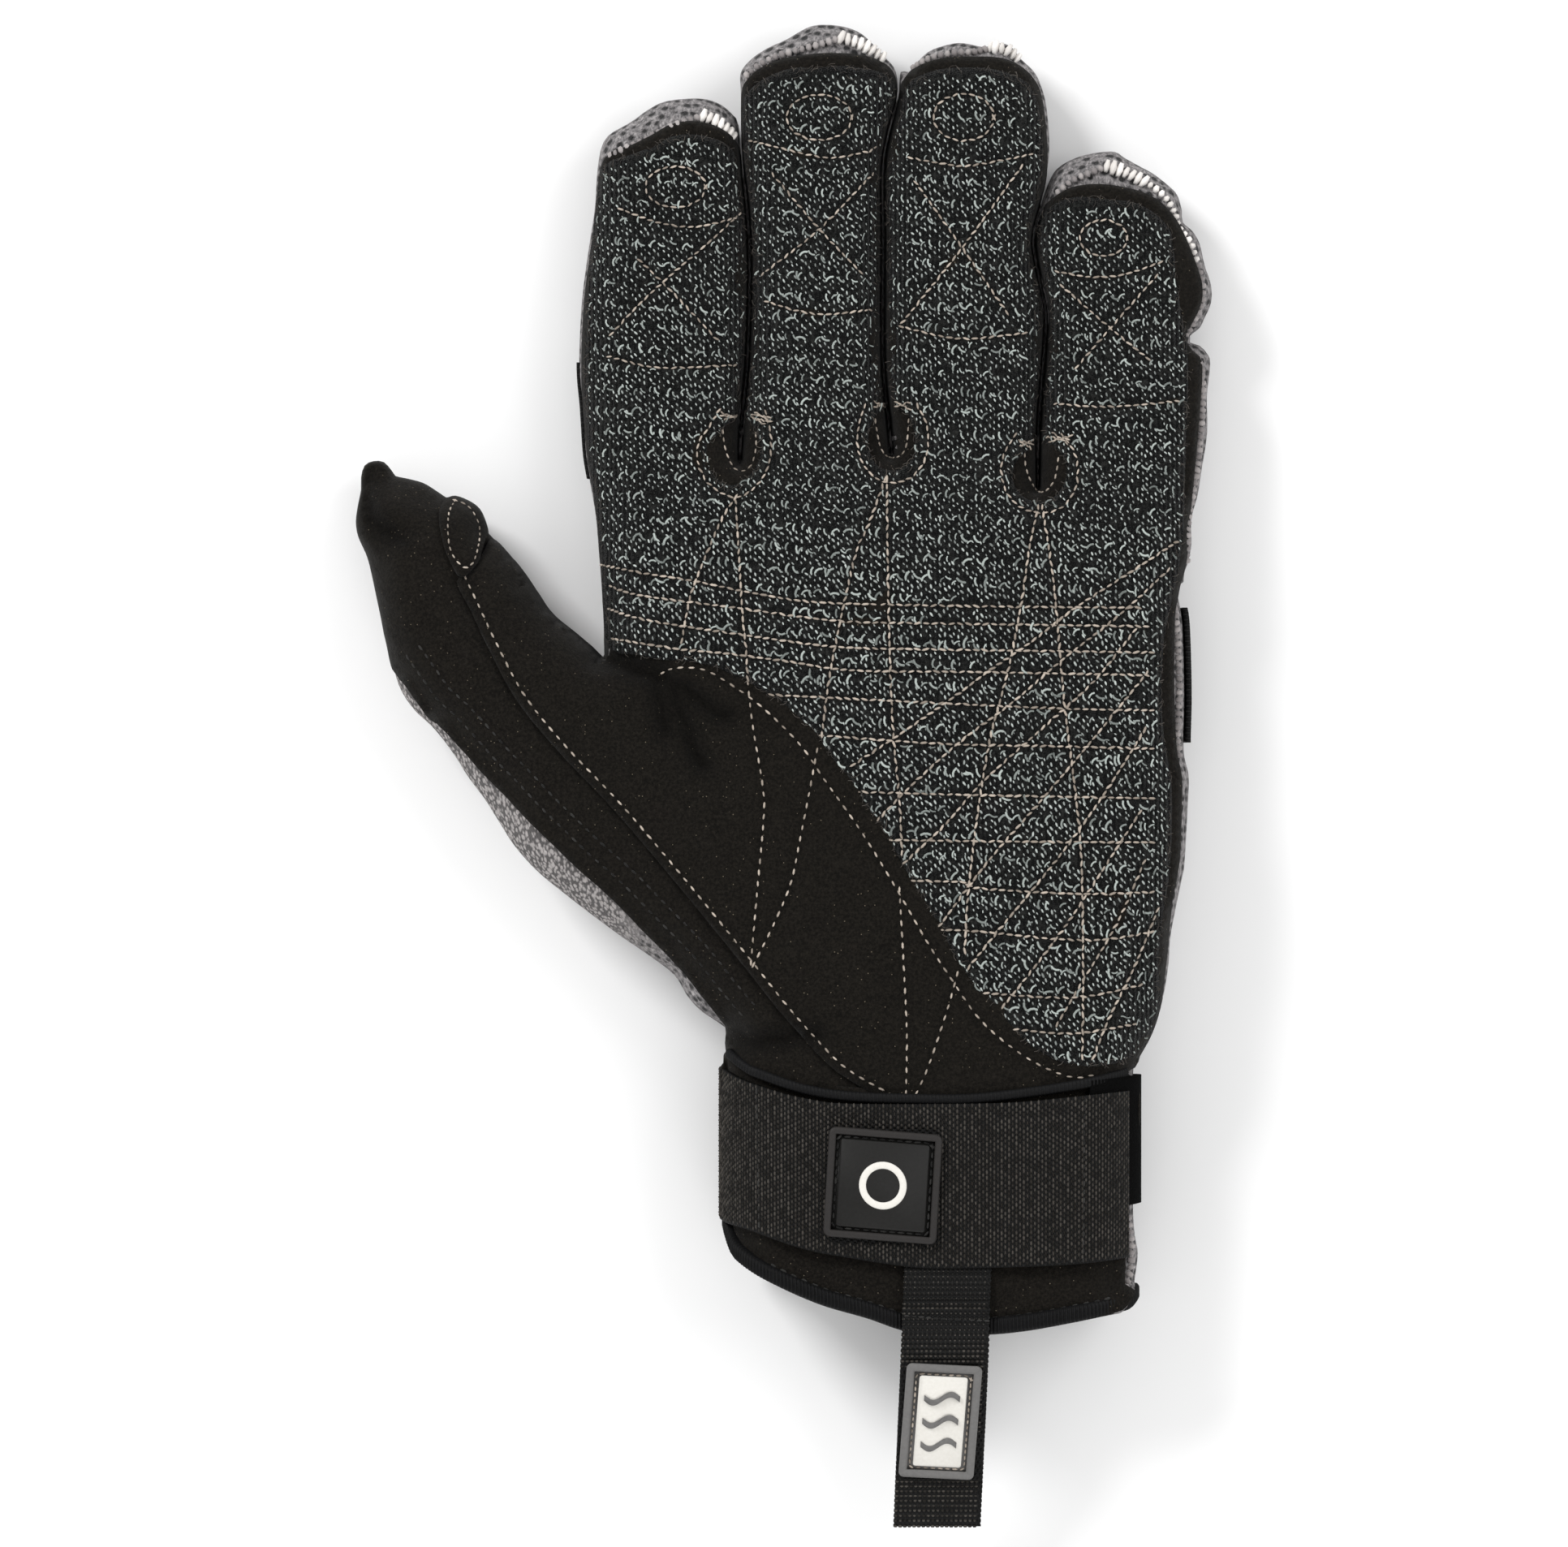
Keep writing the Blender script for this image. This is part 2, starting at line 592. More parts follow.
ribs = add(tree, "ShaderNodeTexVoronoi", Scale=1.0, Randomness=0.8,
           Vector=scaled(tree, warped, (PER_MM / 0.62, PER_MM / 1.25, PER_MM / 1.0), -0.85))
knot = ramp(tree, ribs.outputs["Distance"], [(0.36, 1.0), (0.62, 0.18)])
hole = add(tree, "ShaderNodeMix", {"data_type": "FLOAT"}, s0=on_thumb, s2=hole, s3=knot).outputs[0]
grey = blend(tree, strands, (0.11, 0.104, 0.107), (0.43, 0.405, 0.405))
grey = blend(tree, maths(tree, "MULTIPLY", on_thumb, 0.6), grey, (0.64, 0.595, 0.58))
tree.links.new(blend(tree, hole, (0.012, 0.0115, 0.012), grey), shader.inputs["Base Color"])
bump(tree, shader, maths(tree, "ADD", hole, maths(tree, "MULTIPLY", strands, 0.5)), 0.45)


# %% Black webbing: rows of plump thread over dark gaps, on the piece's own UV in millimetres
def webbing_finish(name, across, along, light):
    """Thread in columns as wide as across, each thread as long as along, in millimetres."""
    material, tree, shader, _ = finish(name, 0.65, 0.0, 0.2)
    flat = add(tree, "ShaderNodeUVMap", {"uv_map": "weave"}).outputs[0]
    place = add(tree, "ShaderNodeSeparateXYZ", Vector=flat)
    u = maths(tree, "DIVIDE", place.outputs[0], across)
    v = maths(tree, "DIVIDE", place.outputs[1], along)
    column = maths(tree, "FLOOR", u)
    shift = maths(tree, "MULTIPLY", maths(tree, "MODULO", column, 2.0), 0.5)
    ridge, bead = (
        maths(tree, "ABSOLUTE", maths(tree, "SINE", maths(tree, "MULTIPLY", value, math.pi)))
        for value in (u, maths(tree, "ADD", v, shift))
    )
    height = maths(tree, "POWER", maths(tree, "MULTIPLY", ridge, bead), 1.3)
    worn = add(tree, "ShaderNodeTexNoise", Scale=1.0, Detail=3.0, Vector=scaled(tree, flat, (0.5, 0.5, 0.5)))
    top = blend(tree, worn.outputs["Fac"], tuple(0.6 * c for c in light), tuple(1.3 * c for c in light))
    tree.links.new(blend(tree, height, (0.001, 0.001, 0.001), top), shader.inputs["Base Color"])
    bump(tree, shader, height, 0.35)
    return material


strap_web = webbing_finish("black_webbing", across=0.66, along=0.77, light=(0.005, 0.0045, 0.004))
tab_web = webbing_finish("black_narrow_webbing", across=1.0, along=0.85, light=(0.005, 0.0045, 0.004))
band_web = webbing_finish("black_elastic", across=0.5, along=0.5, light=(0.02, 0.02, 0.02))


# %% Plain finishes: binding, velvet, rubber and thread
def plain_finish(name, low, high, roughness, grain, depth, specular):
    """Two close shades in lumps of the grain's size, with a bump of the same lumps."""
    material, tree, shader, spot = finish(name, roughness, 0.0, specular)
    cloud = noise_at(tree, spot, (grain,) * 3, 4.0)["Fac"]
    tree.links.new(blend(tree, cloud, low, high), shader.inputs["Base Color"])
    bump(tree, shader, cloud, depth)
    return material


RUBBER_GRAIN, RUBBER_BUMP = 0.6, 0.02
binding = plain_finish("ribbed_binding", (0.0014, 0.0014, 0.0015), (0.0085, 0.0085, 0.009), 0.6, 0.4, 0.05,
                       0.12)
velvet = plain_finish("black_velvet", (0.001, 0.001, 0.001), (0.005, 0.005, 0.005), 1.0, 0.3, 0.15, 0.02)
dark_rubber, rim_rubber, grey_rubber, pale_rubber = (
    plain_finish(name, low, high, roughness, RUBBER_GRAIN, RUBBER_BUMP, specular)
    for name, low, high, roughness, specular in (
        ("dark_rubber", (0.006, 0.0057, 0.0052), (0.0115, 0.011, 0.0102), 0.5, 0.2),
        ("rim_rubber", (0.017, 0.0155, 0.0148), (0.026, 0.0235, 0.0225), 0.55, 0.2),
        ("grey_rubber", (0.11, 0.107, 0.105), (0.16, 0.156, 0.152), 0.55, 0.25),
        ("pale_rubber", (0.62, 0.6, 0.55), (0.74, 0.72, 0.68), 0.6, 0.2),
    )
)


def thread_finish(name, low, high, sheen=0.1):
    """Thread and yarn: each copy has its own shade, kept in an attribute."""
    material, tree, shader, spot = finish(name, 0.75, sheen)
    shade = add(tree, "ShaderNodeAttribute", {"attribute_name": "shade"}).outputs["Fac"]
    twist = noise_at(tree, spot, (0.15,) * 3, 2.0)["Fac"]
    mixed = maths(tree, "ADD", maths(tree, "MULTIPLY", shade, 0.7), maths(tree, "MULTIPLY", twist, 0.3))
    tree.links.new(blend(tree, mixed, low, high), shader.inputs["Base Color"])
    bump(tree, shader, twist, 0.05)
    return material


beige_thread = thread_finish("beige_thread", (0.16, 0.135, 0.11), (0.52, 0.45, 0.38))
black_thread = thread_finish("black_thread", (0.005, 0.005, 0.005), (0.035, 0.034, 0.032))
fleck_yarn = thread_finish("fleck_yarn", (0.06, 0.068, 0.064), (0.47, 0.52, 0.49))
tick_yarn = thread_finish("tick_yarn", (0.09, 0.1, 0.095), (0.56, 0.61, 0.58))
web_yarn = thread_finish("webbing_yarn", (0.004, 0.0036, 0.0032), (0.082, 0.074, 0.065), 0.0)
dark_fibre = thread_finish("dark_fibre", (0.012, 0.011, 0.01), (0.1, 0.088, 0.076))
grey_yarn = thread_finish("grey_yarn", (0.17, 0.155, 0.155), (0.42, 0.39, 0.38))
white_yarn = thread_finish("white_yarn", (0.6, 0.57, 0.54), (0.9, 0.87, 0.84))

# %% [markdown]
# ## Lines of sewing
# The thread lines quilt the knit: level rows across the palm, upright lines from each keyhole,
# slanted lines from the little-finger side, and an oval, a cross and two arcs on each
# fingertip. They are listed once and used twice: to press the cloth in and to lay stitches.

# %% Sewing on the knit, as picture points
PALM_ROWS = [
    [(738, 695), (790, 706), (853, 716), (928, 731), (1002, 742), (1130, 746), (1270, 748), (1400, 749)],
    [(752, 722), (790, 734), (905, 749), (1029, 765), (1130, 768), (1270, 770), (1410, 772)],
    [(750, 750), (796, 764), (919, 783), (1029, 797), (1130, 800), (1270, 802), (1417, 804)],
    [(755, 787), (837, 800), (892, 805), (970, 815), (1050, 826), (1200, 828), (1411, 832)],
    [(950, 856), (1050, 861), (1172, 867), (1310, 873), (1417, 875)],
    [(1000, 905), (1157, 916), (1290, 919), (1417, 922)],
    [(1054, 975), (1200, 979), (1417, 983)],
    [(1092, 1034), (1250, 1036), (1417, 1037)],
    [(1124, 1084), (1188, 1086), (1203, 1093), (1325, 1100), (1417, 1098)],
    [(1158, 1144), (1203, 1146), (1295, 1155), (1356, 1156), (1417, 1147)],
    [(1204, 1221), (1319, 1227), (1403, 1212)],
    [(1250, 1266), (1319, 1271), (1396, 1260)],
]
PALM_UPRIGHTS = [
    [(906, 613), (889, 640), (870, 684), (851, 734), (840, 790)],
    [(906, 618), (910, 682), (915, 764), (918, 791), (921, 836)],
    [(1090, 590), (1068, 650), (1056, 675), (1040, 740), (1022, 830), (1012, 905)],
    [(1092, 590), (1093, 705), (1096, 828), (1100, 911), (1107, 985), (1110, 1050)],
    [(1278, 625), (1267, 675), (1258, 736), (1244, 810), (1231, 862), (1218, 911), (1203, 1000),
     (1191, 1101), (1187, 1170)],
    [(1283, 625), (1295, 705), (1301, 767), (1310, 872), (1322, 970), (1330, 1061), (1332, 1199),
     (1331, 1300)],
]
PALM_SLANTS = [
    [(1448, 668), (1396, 702), (1325, 748), (1270, 790), (1215, 828), (1172, 860), (1102, 908), (1050, 942)],
    [(1438, 702), (1377, 758), (1307, 813), (1246, 865), (1181, 914), (1123, 966), (1081, 1009)],
    [(1396, 777), (1344, 841), (1280, 899), (1209, 963), (1163, 1015), (1114, 1061)],
    [(1411, 829), (1344, 911), (1276, 991), (1215, 1061), (1157, 1138)],
    [(1408, 899), (1353, 985), (1295, 1064), (1224, 1150), (1192, 1190)],
    [(1402, 1000), (1350, 1080), (1307, 1144), (1258, 1208), (1228, 1245)],
    [(1407, 1061), (1374, 1135), (1329, 1211), (1300, 1260)],
    [(1424, 1120), (1395, 1190), (1365, 1250), (1345, 1300)],
]
FINGER_LINES = [
    [(764, 257), (811, 274), (858, 279), (905, 268)],
    [(911, 262), (880, 292), (835, 331), (790, 372), (753, 411)],
    [(788, 321), (830, 362), (882, 417)],
    [(750, 439), (803, 452), (861, 452), (905, 449)],
    [(924, 172), (965, 183), (1021, 194), (1068, 186), (1078, 180)],
    [(1075, 213), (1009, 282), (939, 337)],
    [(952, 215), (1009, 282), (1060, 335)],
    [(944, 371), (983, 383), (1021, 387), (1072, 381)],
    [(1121, 194), (1159, 201), (1191, 204), (1244, 195), (1270, 189)],
    [(1258, 205), (1185, 305), (1112, 396)],
    [(1128, 225), (1185, 305), (1240, 385)],
    [(1110, 402), (1159, 414), (1197, 417), (1262, 410)],
    [(1302, 334), (1343, 341), (1384, 338), (1429, 323)],
    [(1424, 340), (1371, 400), (1326, 452)],
    [(1308, 352), (1360, 398), (1414, 442)],
    [(1300, 497), (1350, 501), (1400, 499), (1450, 494)],
]
FINGER_OVALS = [(832, 230, 37, 25), (1009, 144, 40, 28), (1187, 144, 37, 29), (1359, 293, 29, 22)]
KEYHOLE_RINGS = [
    [(885, 506), (872, 528), (861, 544), (859, 566), (868, 590), (886, 606), (906, 613), (926, 604),
     (942, 584), (949, 560), (949, 534), (943, 508)],
    [(1065, 500), (1058, 522), (1056, 548), (1063, 572), (1080, 590), (1100, 595), (1122, 588), (1138, 568),
     (1143, 545), (1140, 520), (1130, 500)],
    [(1250, 536), (1236, 560), (1233, 584), (1240, 608), (1258, 626), (1282, 632), (1306, 626), (1322, 606),
     (1327, 582), (1322, 556), (1308, 536)],
]


def oval(centre_x, centre_y, half_x, half_y):
    """Picture points round an oval, back to its start."""
    angles = np.linspace(0, 2 * math.pi, 29)
    return [(centre_x + half_x * math.cos(a), centre_y + half_y * math.sin(a)) for a in angles]


SEWING_STEP = 0.6


def sewn(lines, step=SEWING_STEP):
    """Smooth lines in millimetres through lists of picture points."""
    return [smooth_line(plan(line), step) for line in lines]


palm_rows = sewn(PALM_ROWS)
palm_crossings = sewn(PALM_UPRIGHTS + PALM_SLANTS)
finger_sewing = sewn(FINGER_LINES + KEYHOLE_RINGS + [oval(*place) for place in FINGER_OVALS])
knit_sewing = palm_rows + palm_crossings + finger_sewing

# %% Sewing on the suede, as picture points
KNIT_TOPSTITCH = [
    (816, 829), (832, 823), (862, 824), (887, 835), (936, 869), (985, 917), (1015, 960), (1061, 1025),
    (1104, 1095), (1141, 1159), (1169, 1202), (1204, 1252), (1243, 1287), (1281, 1311), (1319, 1325),
    (1342, 1323),
]
THUMB_SEAM = [
    (573, 711), (591, 748), (610, 788), (646, 855), (695, 916), (757, 981), (801, 1031), (862, 1104),
    (927, 1184), (975, 1244), (1028, 1302), (1059, 1325), (1097, 1346),
]
THENAR_DARTS = [
    [(921, 841), (927, 893), (940, 973), (940, 1015), (933, 1092), (925, 1184)],
    [(1006, 924), (997, 973), (985, 1034), (974, 1086), (954, 1135), (928, 1187)],
    [(1107, 1095), (1112, 1184), (1116, 1271), (1115, 1344)],
    [(1178, 1198), (1166, 1241), (1143, 1310), (1128, 1344)],
]
MESH_SEAM = [
    (484, 823), (502, 848), (523, 877), (546, 898), (573, 927), (596, 953), (623, 980), (650, 1009),
    (680, 1038), (711, 1068), (742, 1095), (766, 1118), (790, 1143), (819, 1172), (844, 1199), (868, 1230),
    (895, 1262),
]
KEYHOLE_STITCHES = [
    [(890, 531), (893, 552), (900, 570), (908, 579), (918, 579), (926, 571), (931, 552), (931, 535)],
    [(1078, 518), (1081, 537), (1085, 552), (1092, 561), (1103, 563), (1112, 558), (1117, 545), (1119, 518)],
    [(1262, 560), (1263, 573), (1268, 589), (1276, 602), (1284, 606), (1293, 600), (1300, 586), (1303, 566)],
]
TACKS = [
    [(889, 512), (911, 513)], [(890, 509), (909, 515)], [(893, 516), (910, 510)],
    [(926, 510), (947, 514)], [(928, 515), (945, 519)], [(931, 508), (948, 519)], [(926, 513), (940, 522)],
    [(1078, 495), (1093, 501)], [(1078, 501), (1092, 494)], [(1101, 501), (1119, 496)],
    [(1104, 495), (1120, 504)],
    [(1256, 543), (1274, 547)], [(1258, 549), (1273, 541)], [(1258, 545), (1270, 552)],
    [(1290, 538), (1314, 541)], [(1293, 544), (1318, 537)], [(1297, 533), (1313, 546)],
]
PETAL = [
    (541, 623), (541, 647), (547, 675), (558, 699), (568, 712), (580, 704), (592, 684), (597, 655),
    (594, 641), (587, 626), (573, 616), (555, 611),
]
PETAL_STITCH = [
    (559, 615), (552, 632), (552, 662), (558, 684), (573, 699), (584, 690), (590, 662), (587, 640),
    (575, 622), (559, 615),
]
topstitch, thumb_seam, mesh_seam = sewn([KNIT_TOPSTITCH, THUMB_SEAM, MESH_SEAM])
darts = sewn(THENAR_DARTS)
petal_sewing = sewn([PETAL_STITCH], 0.5)

# %% [markdown]
# ## The knit overlay
# On the real glove this is one cut of knit cloth with four finger fronts and a round keyhole at
# each crotch. It is a sheet here, quilted by its sewing and rolled down at its raw edge.

# %% Outline of the knit, as picture points
KNIT_INDEX = [
    (752, 797), (746, 740), (742, 682), (738, 635), (732, 594), (727, 558), (723, 500), (721, 449),
    (724, 373), (729, 315), (735, 256), (740, 215), (744, 203), (757, 195), (773, 191), (803, 180),
    (826, 168), (852, 165), (882, 171), (899, 181), (907, 196), (910, 230), (915, 280), (917, 340),
    (914, 440), (907, 500),
]
FIRST_KEYHOLE = [
    (907, 513), (898, 520), (885, 534), (876, 550), (874, 564), (877, 579), (884, 591), (895, 597),
    (903, 598), (912, 594), (923, 586), (933, 571), (936, 556), (933, 537), (927, 523), (918, 513),
]
KNIT_MIDDLE = [
    (919, 500), (926, 440), (929, 340), (928, 280), (921, 200), (918, 150), (917, 125), (923, 110),
    (939, 97), (968, 85), (997, 81), (1030, 80), (1056, 82), (1085, 88), (1099, 98), (1102, 112),
    (1099, 125), (1089, 160), (1082, 205), (1082, 300), (1082, 440), (1087, 485),
]
SECOND_KEYHOLE = [
    (1092, 503), (1084, 506), (1076, 515), (1071, 529), (1069, 544), (1072, 560), (1080, 573), (1092, 579),
    (1107, 578), (1118, 571), (1125, 560), (1127, 544), (1125, 529), (1120, 514), (1112, 506), (1103, 502),
]
KNIT_RING = [
    (1101, 485), (1095, 440), (1094, 300), (1094, 205), (1101, 165), (1111, 130), (1115, 112), (1121, 100),
    (1138, 90), (1160, 84), (1190, 82), (1222, 84), (1250, 92), (1268, 104), (1277, 122), (1281, 140),
    (1284, 176), (1282, 215), (1275, 250), (1267, 293), (1275, 345), (1282, 381), (1281, 420), (1279, 458),
    (1274, 520),
]
THIRD_KEYHOLE = [
    (1275, 543), (1265, 555), (1254, 565), (1248, 577), (1247, 590), (1253, 605), (1267, 616), (1283, 618),
    (1298, 612), (1309, 598), (1313, 580), (1309, 562), (1298, 551), (1286, 543),
]
KNIT_LITTLE = [
    (1287, 520), (1292, 458), (1295, 420), (1296, 381), (1289, 345), (1281, 300), (1280, 275), (1287, 261),
    (1302, 249), (1326, 242), (1355, 244), (1384, 246), (1404, 252), (1424, 264), (1441, 283), (1445, 305),
    (1449, 334), (1453, 374), (1459, 405), (1463, 446), (1462, 500), (1460, 552), (1458, 600), (1457, 644),
]
KNIT_PALM = [
    (1452, 690), (1445, 720), (1440, 745), (1432, 790), (1428, 850), (1432, 910), (1440, 960), (1441, 1020),
    (1437, 1080), (1428, 1140), (1424, 1190), (1426, 1235), (1419, 1264), (1407, 1287), (1388, 1302),
    (1361, 1310), (1331, 1311), (1304, 1306), (1281, 1294), (1254, 1275), (1227, 1248), (1204, 1222),
    (1184, 1190), (1159, 1150), (1138, 1113), (1120, 1080), (1101, 1046), (1083, 1015), (1064, 991),
    (1046, 960), (1025, 936), (1006, 911), (991, 893), (970, 872), (942, 853), (924, 841), (905, 832),
    (878, 821), (847, 815), (816, 813), (786, 807),
]
KNIT_STEP = 0.9
knit_outline = smooth_line(plan([
    *KNIT_INDEX, *FIRST_KEYHOLE, *KNIT_MIDDLE, *SECOND_KEYHOLE, *KNIT_RING, *THIRD_KEYHOLE, *KNIT_LITTLE,
    *KNIT_PALM,
]), KNIT_STEP, closed=True)

# %% The knit sheet
KNIT_SPACING = 0.95
KNIT_THICK = 0.8
knit_sheet = sheet(
    "palm_knit", knit_outline, KNIT_SPACING, lift=1.45, thickness=KNIT_THICK, material=knit,
    press=[(knit_sewing, 0.9, 0.45)], roll=0.9, slack=0.35, seed=1.0, out=0.5,
)

# %% [markdown]
# ## The suede
# Under the knit lies one layer of black synthetic suede. It shows at the thumb side, as a band
# at each fingertip, and through the keyholes. The thumb has a panel of its own, and the palm's
# suede overlaps it along a line of sewing. Folds run out from the thumb's crotch.

# %% Outline of the suede, as picture points
SUEDE_INNER_THUMB = [
    (604, 664), (628, 687), (646, 709), (662, 733), (680, 758), (708, 781), (726, 796), (744, 811),
]
SUEDE_INDEX = [
    (746, 790), (744, 740), (740, 682), (736, 635), (730, 594), (724, 558), (719, 500), (717, 449),
    (720, 373), (727, 315), (735, 256), (739, 212), (745, 193), (757, 183), (776, 178), (803, 165),
    (826, 152), (852, 148), (878, 153), (897, 163), (908, 178), (912.4, 200), (919.4, 270), (921.4, 340),
    (918.4, 440), (911.4, 520), (910, 556), (911, 568),
]
SUEDE_MIDDLE = [
    (912.5, 556), (914.6, 520), (921.6, 440), (924.6, 340), (922.6, 270), (915.6, 200), (914.5, 149),
    (915, 112), (921, 95), (939, 81), (968, 70), (1000, 65), (1035, 64), (1060, 66), (1085, 73), (1101, 90),
    (1104, 117), (1093.4, 160), (1086.4, 205), (1086.4, 300), (1086.4, 440), (1093.4, 520), (1096.5, 550),
    (1098, 560),
]
SUEDE_RING = [
    (1099.5, 550), (1096.6, 520), (1089.6, 440), (1089.6, 300), (1089.6, 205), (1096.6, 160), (1108, 117),
    (1113, 97), (1125, 84), (1145, 74), (1170, 69), (1200, 68), (1235, 70), (1258, 80), (1274, 96),
    (1283, 120), (1289, 176), (1288, 216), (1282.2, 246), (1272.4, 293), (1280.4, 345), (1287.4, 381),
    (1286.4, 420), (1283.4, 458), (1278.4, 525), (1278, 590), (1279, 602),
]
SUEDE_LITTLE = [
    (1280, 590), (1281.6, 525), (1286.6, 458), (1289.6, 420), (1290.6, 381), (1283.6, 345), (1275.6, 293),
    (1286, 256), (1297, 243), (1320, 230), (1350, 226), (1380, 229), (1408, 236), (1430, 248), (1447, 266),
    (1460, 290), (1472, 320), (1481, 350), (1479, 375), (1468, 398), (1459, 415), (1470, 432), (1481, 446),
    (1478, 500), (1475, 540), (1470, 590), (1464, 640), (1460, 690), (1452, 722),
]
SUEDE_HAND = [
    (1448, 745), (1446, 760), (1445, 800), (1445, 860), (1448, 924), (1454, 955), (1454, 990), (1451, 1061),
    (1441, 1118), (1434, 1187), (1428, 1235), (1418, 1270), (1402, 1300), (1396, 1314), (1341, 1334),
    (1267, 1347), (1193, 1353), (1119, 1353), (1094, 1352),
]
FOLDS = [
    [(743, 810), (764, 821), (787, 829), (806, 835), (822, 840), (841, 846)],
    [(806, 835), (811, 858), (816, 875), (820, 900)],
    [(829, 842), (839, 877), (849, 904), (856, 927), (864, 942)],
    [(841, 846), (864, 865), (879, 877), (894, 882)],
    [(902, 1271), (935, 1282), (985, 1273), (1006, 1271)],
    [(449, 586), (451, 616), (456, 636), (470, 651), (489, 662)],
]
HOLLOW = [(752, 806), (775, 814), (797, 821), (816, 830)]
WRIST_CORNER = [(1092, 1352), (1045, 1347), (989, 1338), (934, 1319), (899, 1300), (896, 1272)]
SEAM_LAP = (10.4, 5.2)
SEAM_LAP_TOP = [(580, 704), (594, 680)]
SUEDE_STEP = 1.0
SUEDE_SPACING = 1.3
SUEDE_THICK = 0.9
seam_overlap = [(x - SEAM_LAP[0], y + SEAM_LAP[1]) for x, y in THUMB_SEAM][::-1]
suede_outline = smooth_line(plan([
    *SUEDE_INNER_THUMB, *SUEDE_INDEX, *SUEDE_MIDDLE, *SUEDE_RING, *SUEDE_LITTLE, *SUEDE_HAND, *seam_overlap,
    *SEAM_LAP_TOP,
]), SUEDE_STEP, closed=True)
folds = sewn(FOLDS)
fold_press = [(folds, 0.8, 1.0), (folds, 2.4, 1.0), (sewn([HOLLOW]), 2.0, 1.6)]

# %% The palm's suede
suede_sewing = [topstitch, thumb_seam, *darts]
palm_suede = sheet(
    "palm_suede", suede_outline, SUEDE_SPACING, lift=0.65, thickness=SUEDE_THICK, material=suede,
    press=[(suede_sewing, 0.8, 0.45), *fold_press], roll=0.5, slack=0.75, seed=3.0, out=0.4,
)

# %% The thumb's panel and its petal
THUMB_RIGHT, THUMB_FOOT = picture_x(606), picture_y(822)
SEAM_TUCK = 4
thumb_edge = edge[(edge[:, 0] < THUMB_RIGHT) & (edge[:, 1] > THUMB_FOOT)]
panel_right = smooth_line(plan([(x + SEAM_TUCK, y - SEAM_TUCK) for x, y in THUMB_SEAM]), SUEDE_STEP)
wrist_corner = smooth_line(plan(WRIST_CORNER), SUEDE_STEP)
panel_outline = np.concatenate([thumb_edge[:, :2], panel_right, wrist_corner, mesh_seam[::-1]])
thumb_suede = sheet(
    "thumb_suede", panel_outline, SUEDE_SPACING, lift=0.2, thickness=SUEDE_THICK, material=suede,
    press=[*fold_press, (sewn([seam_overlap]), 0.8, 0.8)], slack=0.75, seed=3.0, out=0.4,
)
petal_sheet = sheet(
    "thumb_petal_suede", smooth_line(plan(PETAL), 0.8, closed=True), 0.9, lift=1.35, thickness=1.0,
    material=suede, press=[(petal_sewing, 0.7, 0.3)], roll=0.5, slack=0.2, seed=4.0, out=0.6,
)

# %% The cuff's suede, below the strap
CUFF_SIDES = [
    (904, 1534), (901, 1515), (899, 1480), (897, 1400), (895, 1296), (960, 1325), (1180, 1345),
    (1386, 1320), (1386, 1480), (1385, 1520), (1385, 1550), (1384, 1580),
]
cuff_outline = np.concatenate([smooth_line(plan(CUFF_SIDES), SUEDE_STEP), hem[1:-1]])
cuff_sheet = sheet(
    "cuff_suede", cuff_outline, 1.6, lift=0.0, thickness=SUEDE_THICK, material=suede, slack=0.4, seed=6.0,
    out=0.3,
)

# %% [markdown]
# ## The mesh back
# The back is the bottom half of the pillow and a strip that rolls over the edge up to the
# suede. Both halves share the edge's points, so merging them closes the shell all round, and
# the hem stays open as the glove's mouth.

# %% The shell of grey mesh
STRIP_DROP = 0.8
MESH_SPACING = 1.9
MESH_THICK = 1.1
MESH_SLACK, MESH_WAVE, MESH_SEED, MESH_SLACK_FROM = 0.25, 14, 8.0, 5
WELD = 0.25


def hand_shell(name, hole, spacing, material):
    """The glove's bottom, joined to a strip of its top round the hole."""
    strip_points, strip_faces = fill(glove_outline, [hole], spacing, EDGE_RINGS)
    rim, _ = line_distance(strip_points, edge)
    top = pillow(strip_points, "top") - STRIP_DROP * np.clip(rim / STRIP_DROP, 0, 1)
    bottom_points, bottom_faces = fill(glove_outline, [], spacing, EDGE_RINGS)
    bottom = pillow(bottom_points, "bottom")
    distance, _ = line_distance(bottom_points, edge)
    bottom = relaxed(bottom, bottom_faces, RELAX_ROUNDS, distance > RELAX_FROM)
    slack = MESH_SLACK * slow_noise(bottom_points, MESH_WAVE, MESH_SEED)
    bottom = np.maximum(bottom + slack * np.clip(distance / MESH_SLACK_FROM, 0, 1), 0)
    upper = np.column_stack([strip_points, top])
    lower = np.column_stack([bottom_points, bottom])
    verts = np.concatenate([upper, lower])
    faces = np.concatenate([
        facing(strip_faces, upper, True), facing(bottom_faces, lower, False) + len(upper),
    ])
    made = mesh_object(name, verts, faces, material)
    work = bmesh.new()
    work.from_mesh(made.data)
    bmesh.ops.remove_doubles(work, verts=work.verts, dist=WELD * MM)
    work.to_mesh(made.data)
    work.free()
    print(name, "triangles:", len(made.data.polygons))
    return walled(made, MESH_THICK)


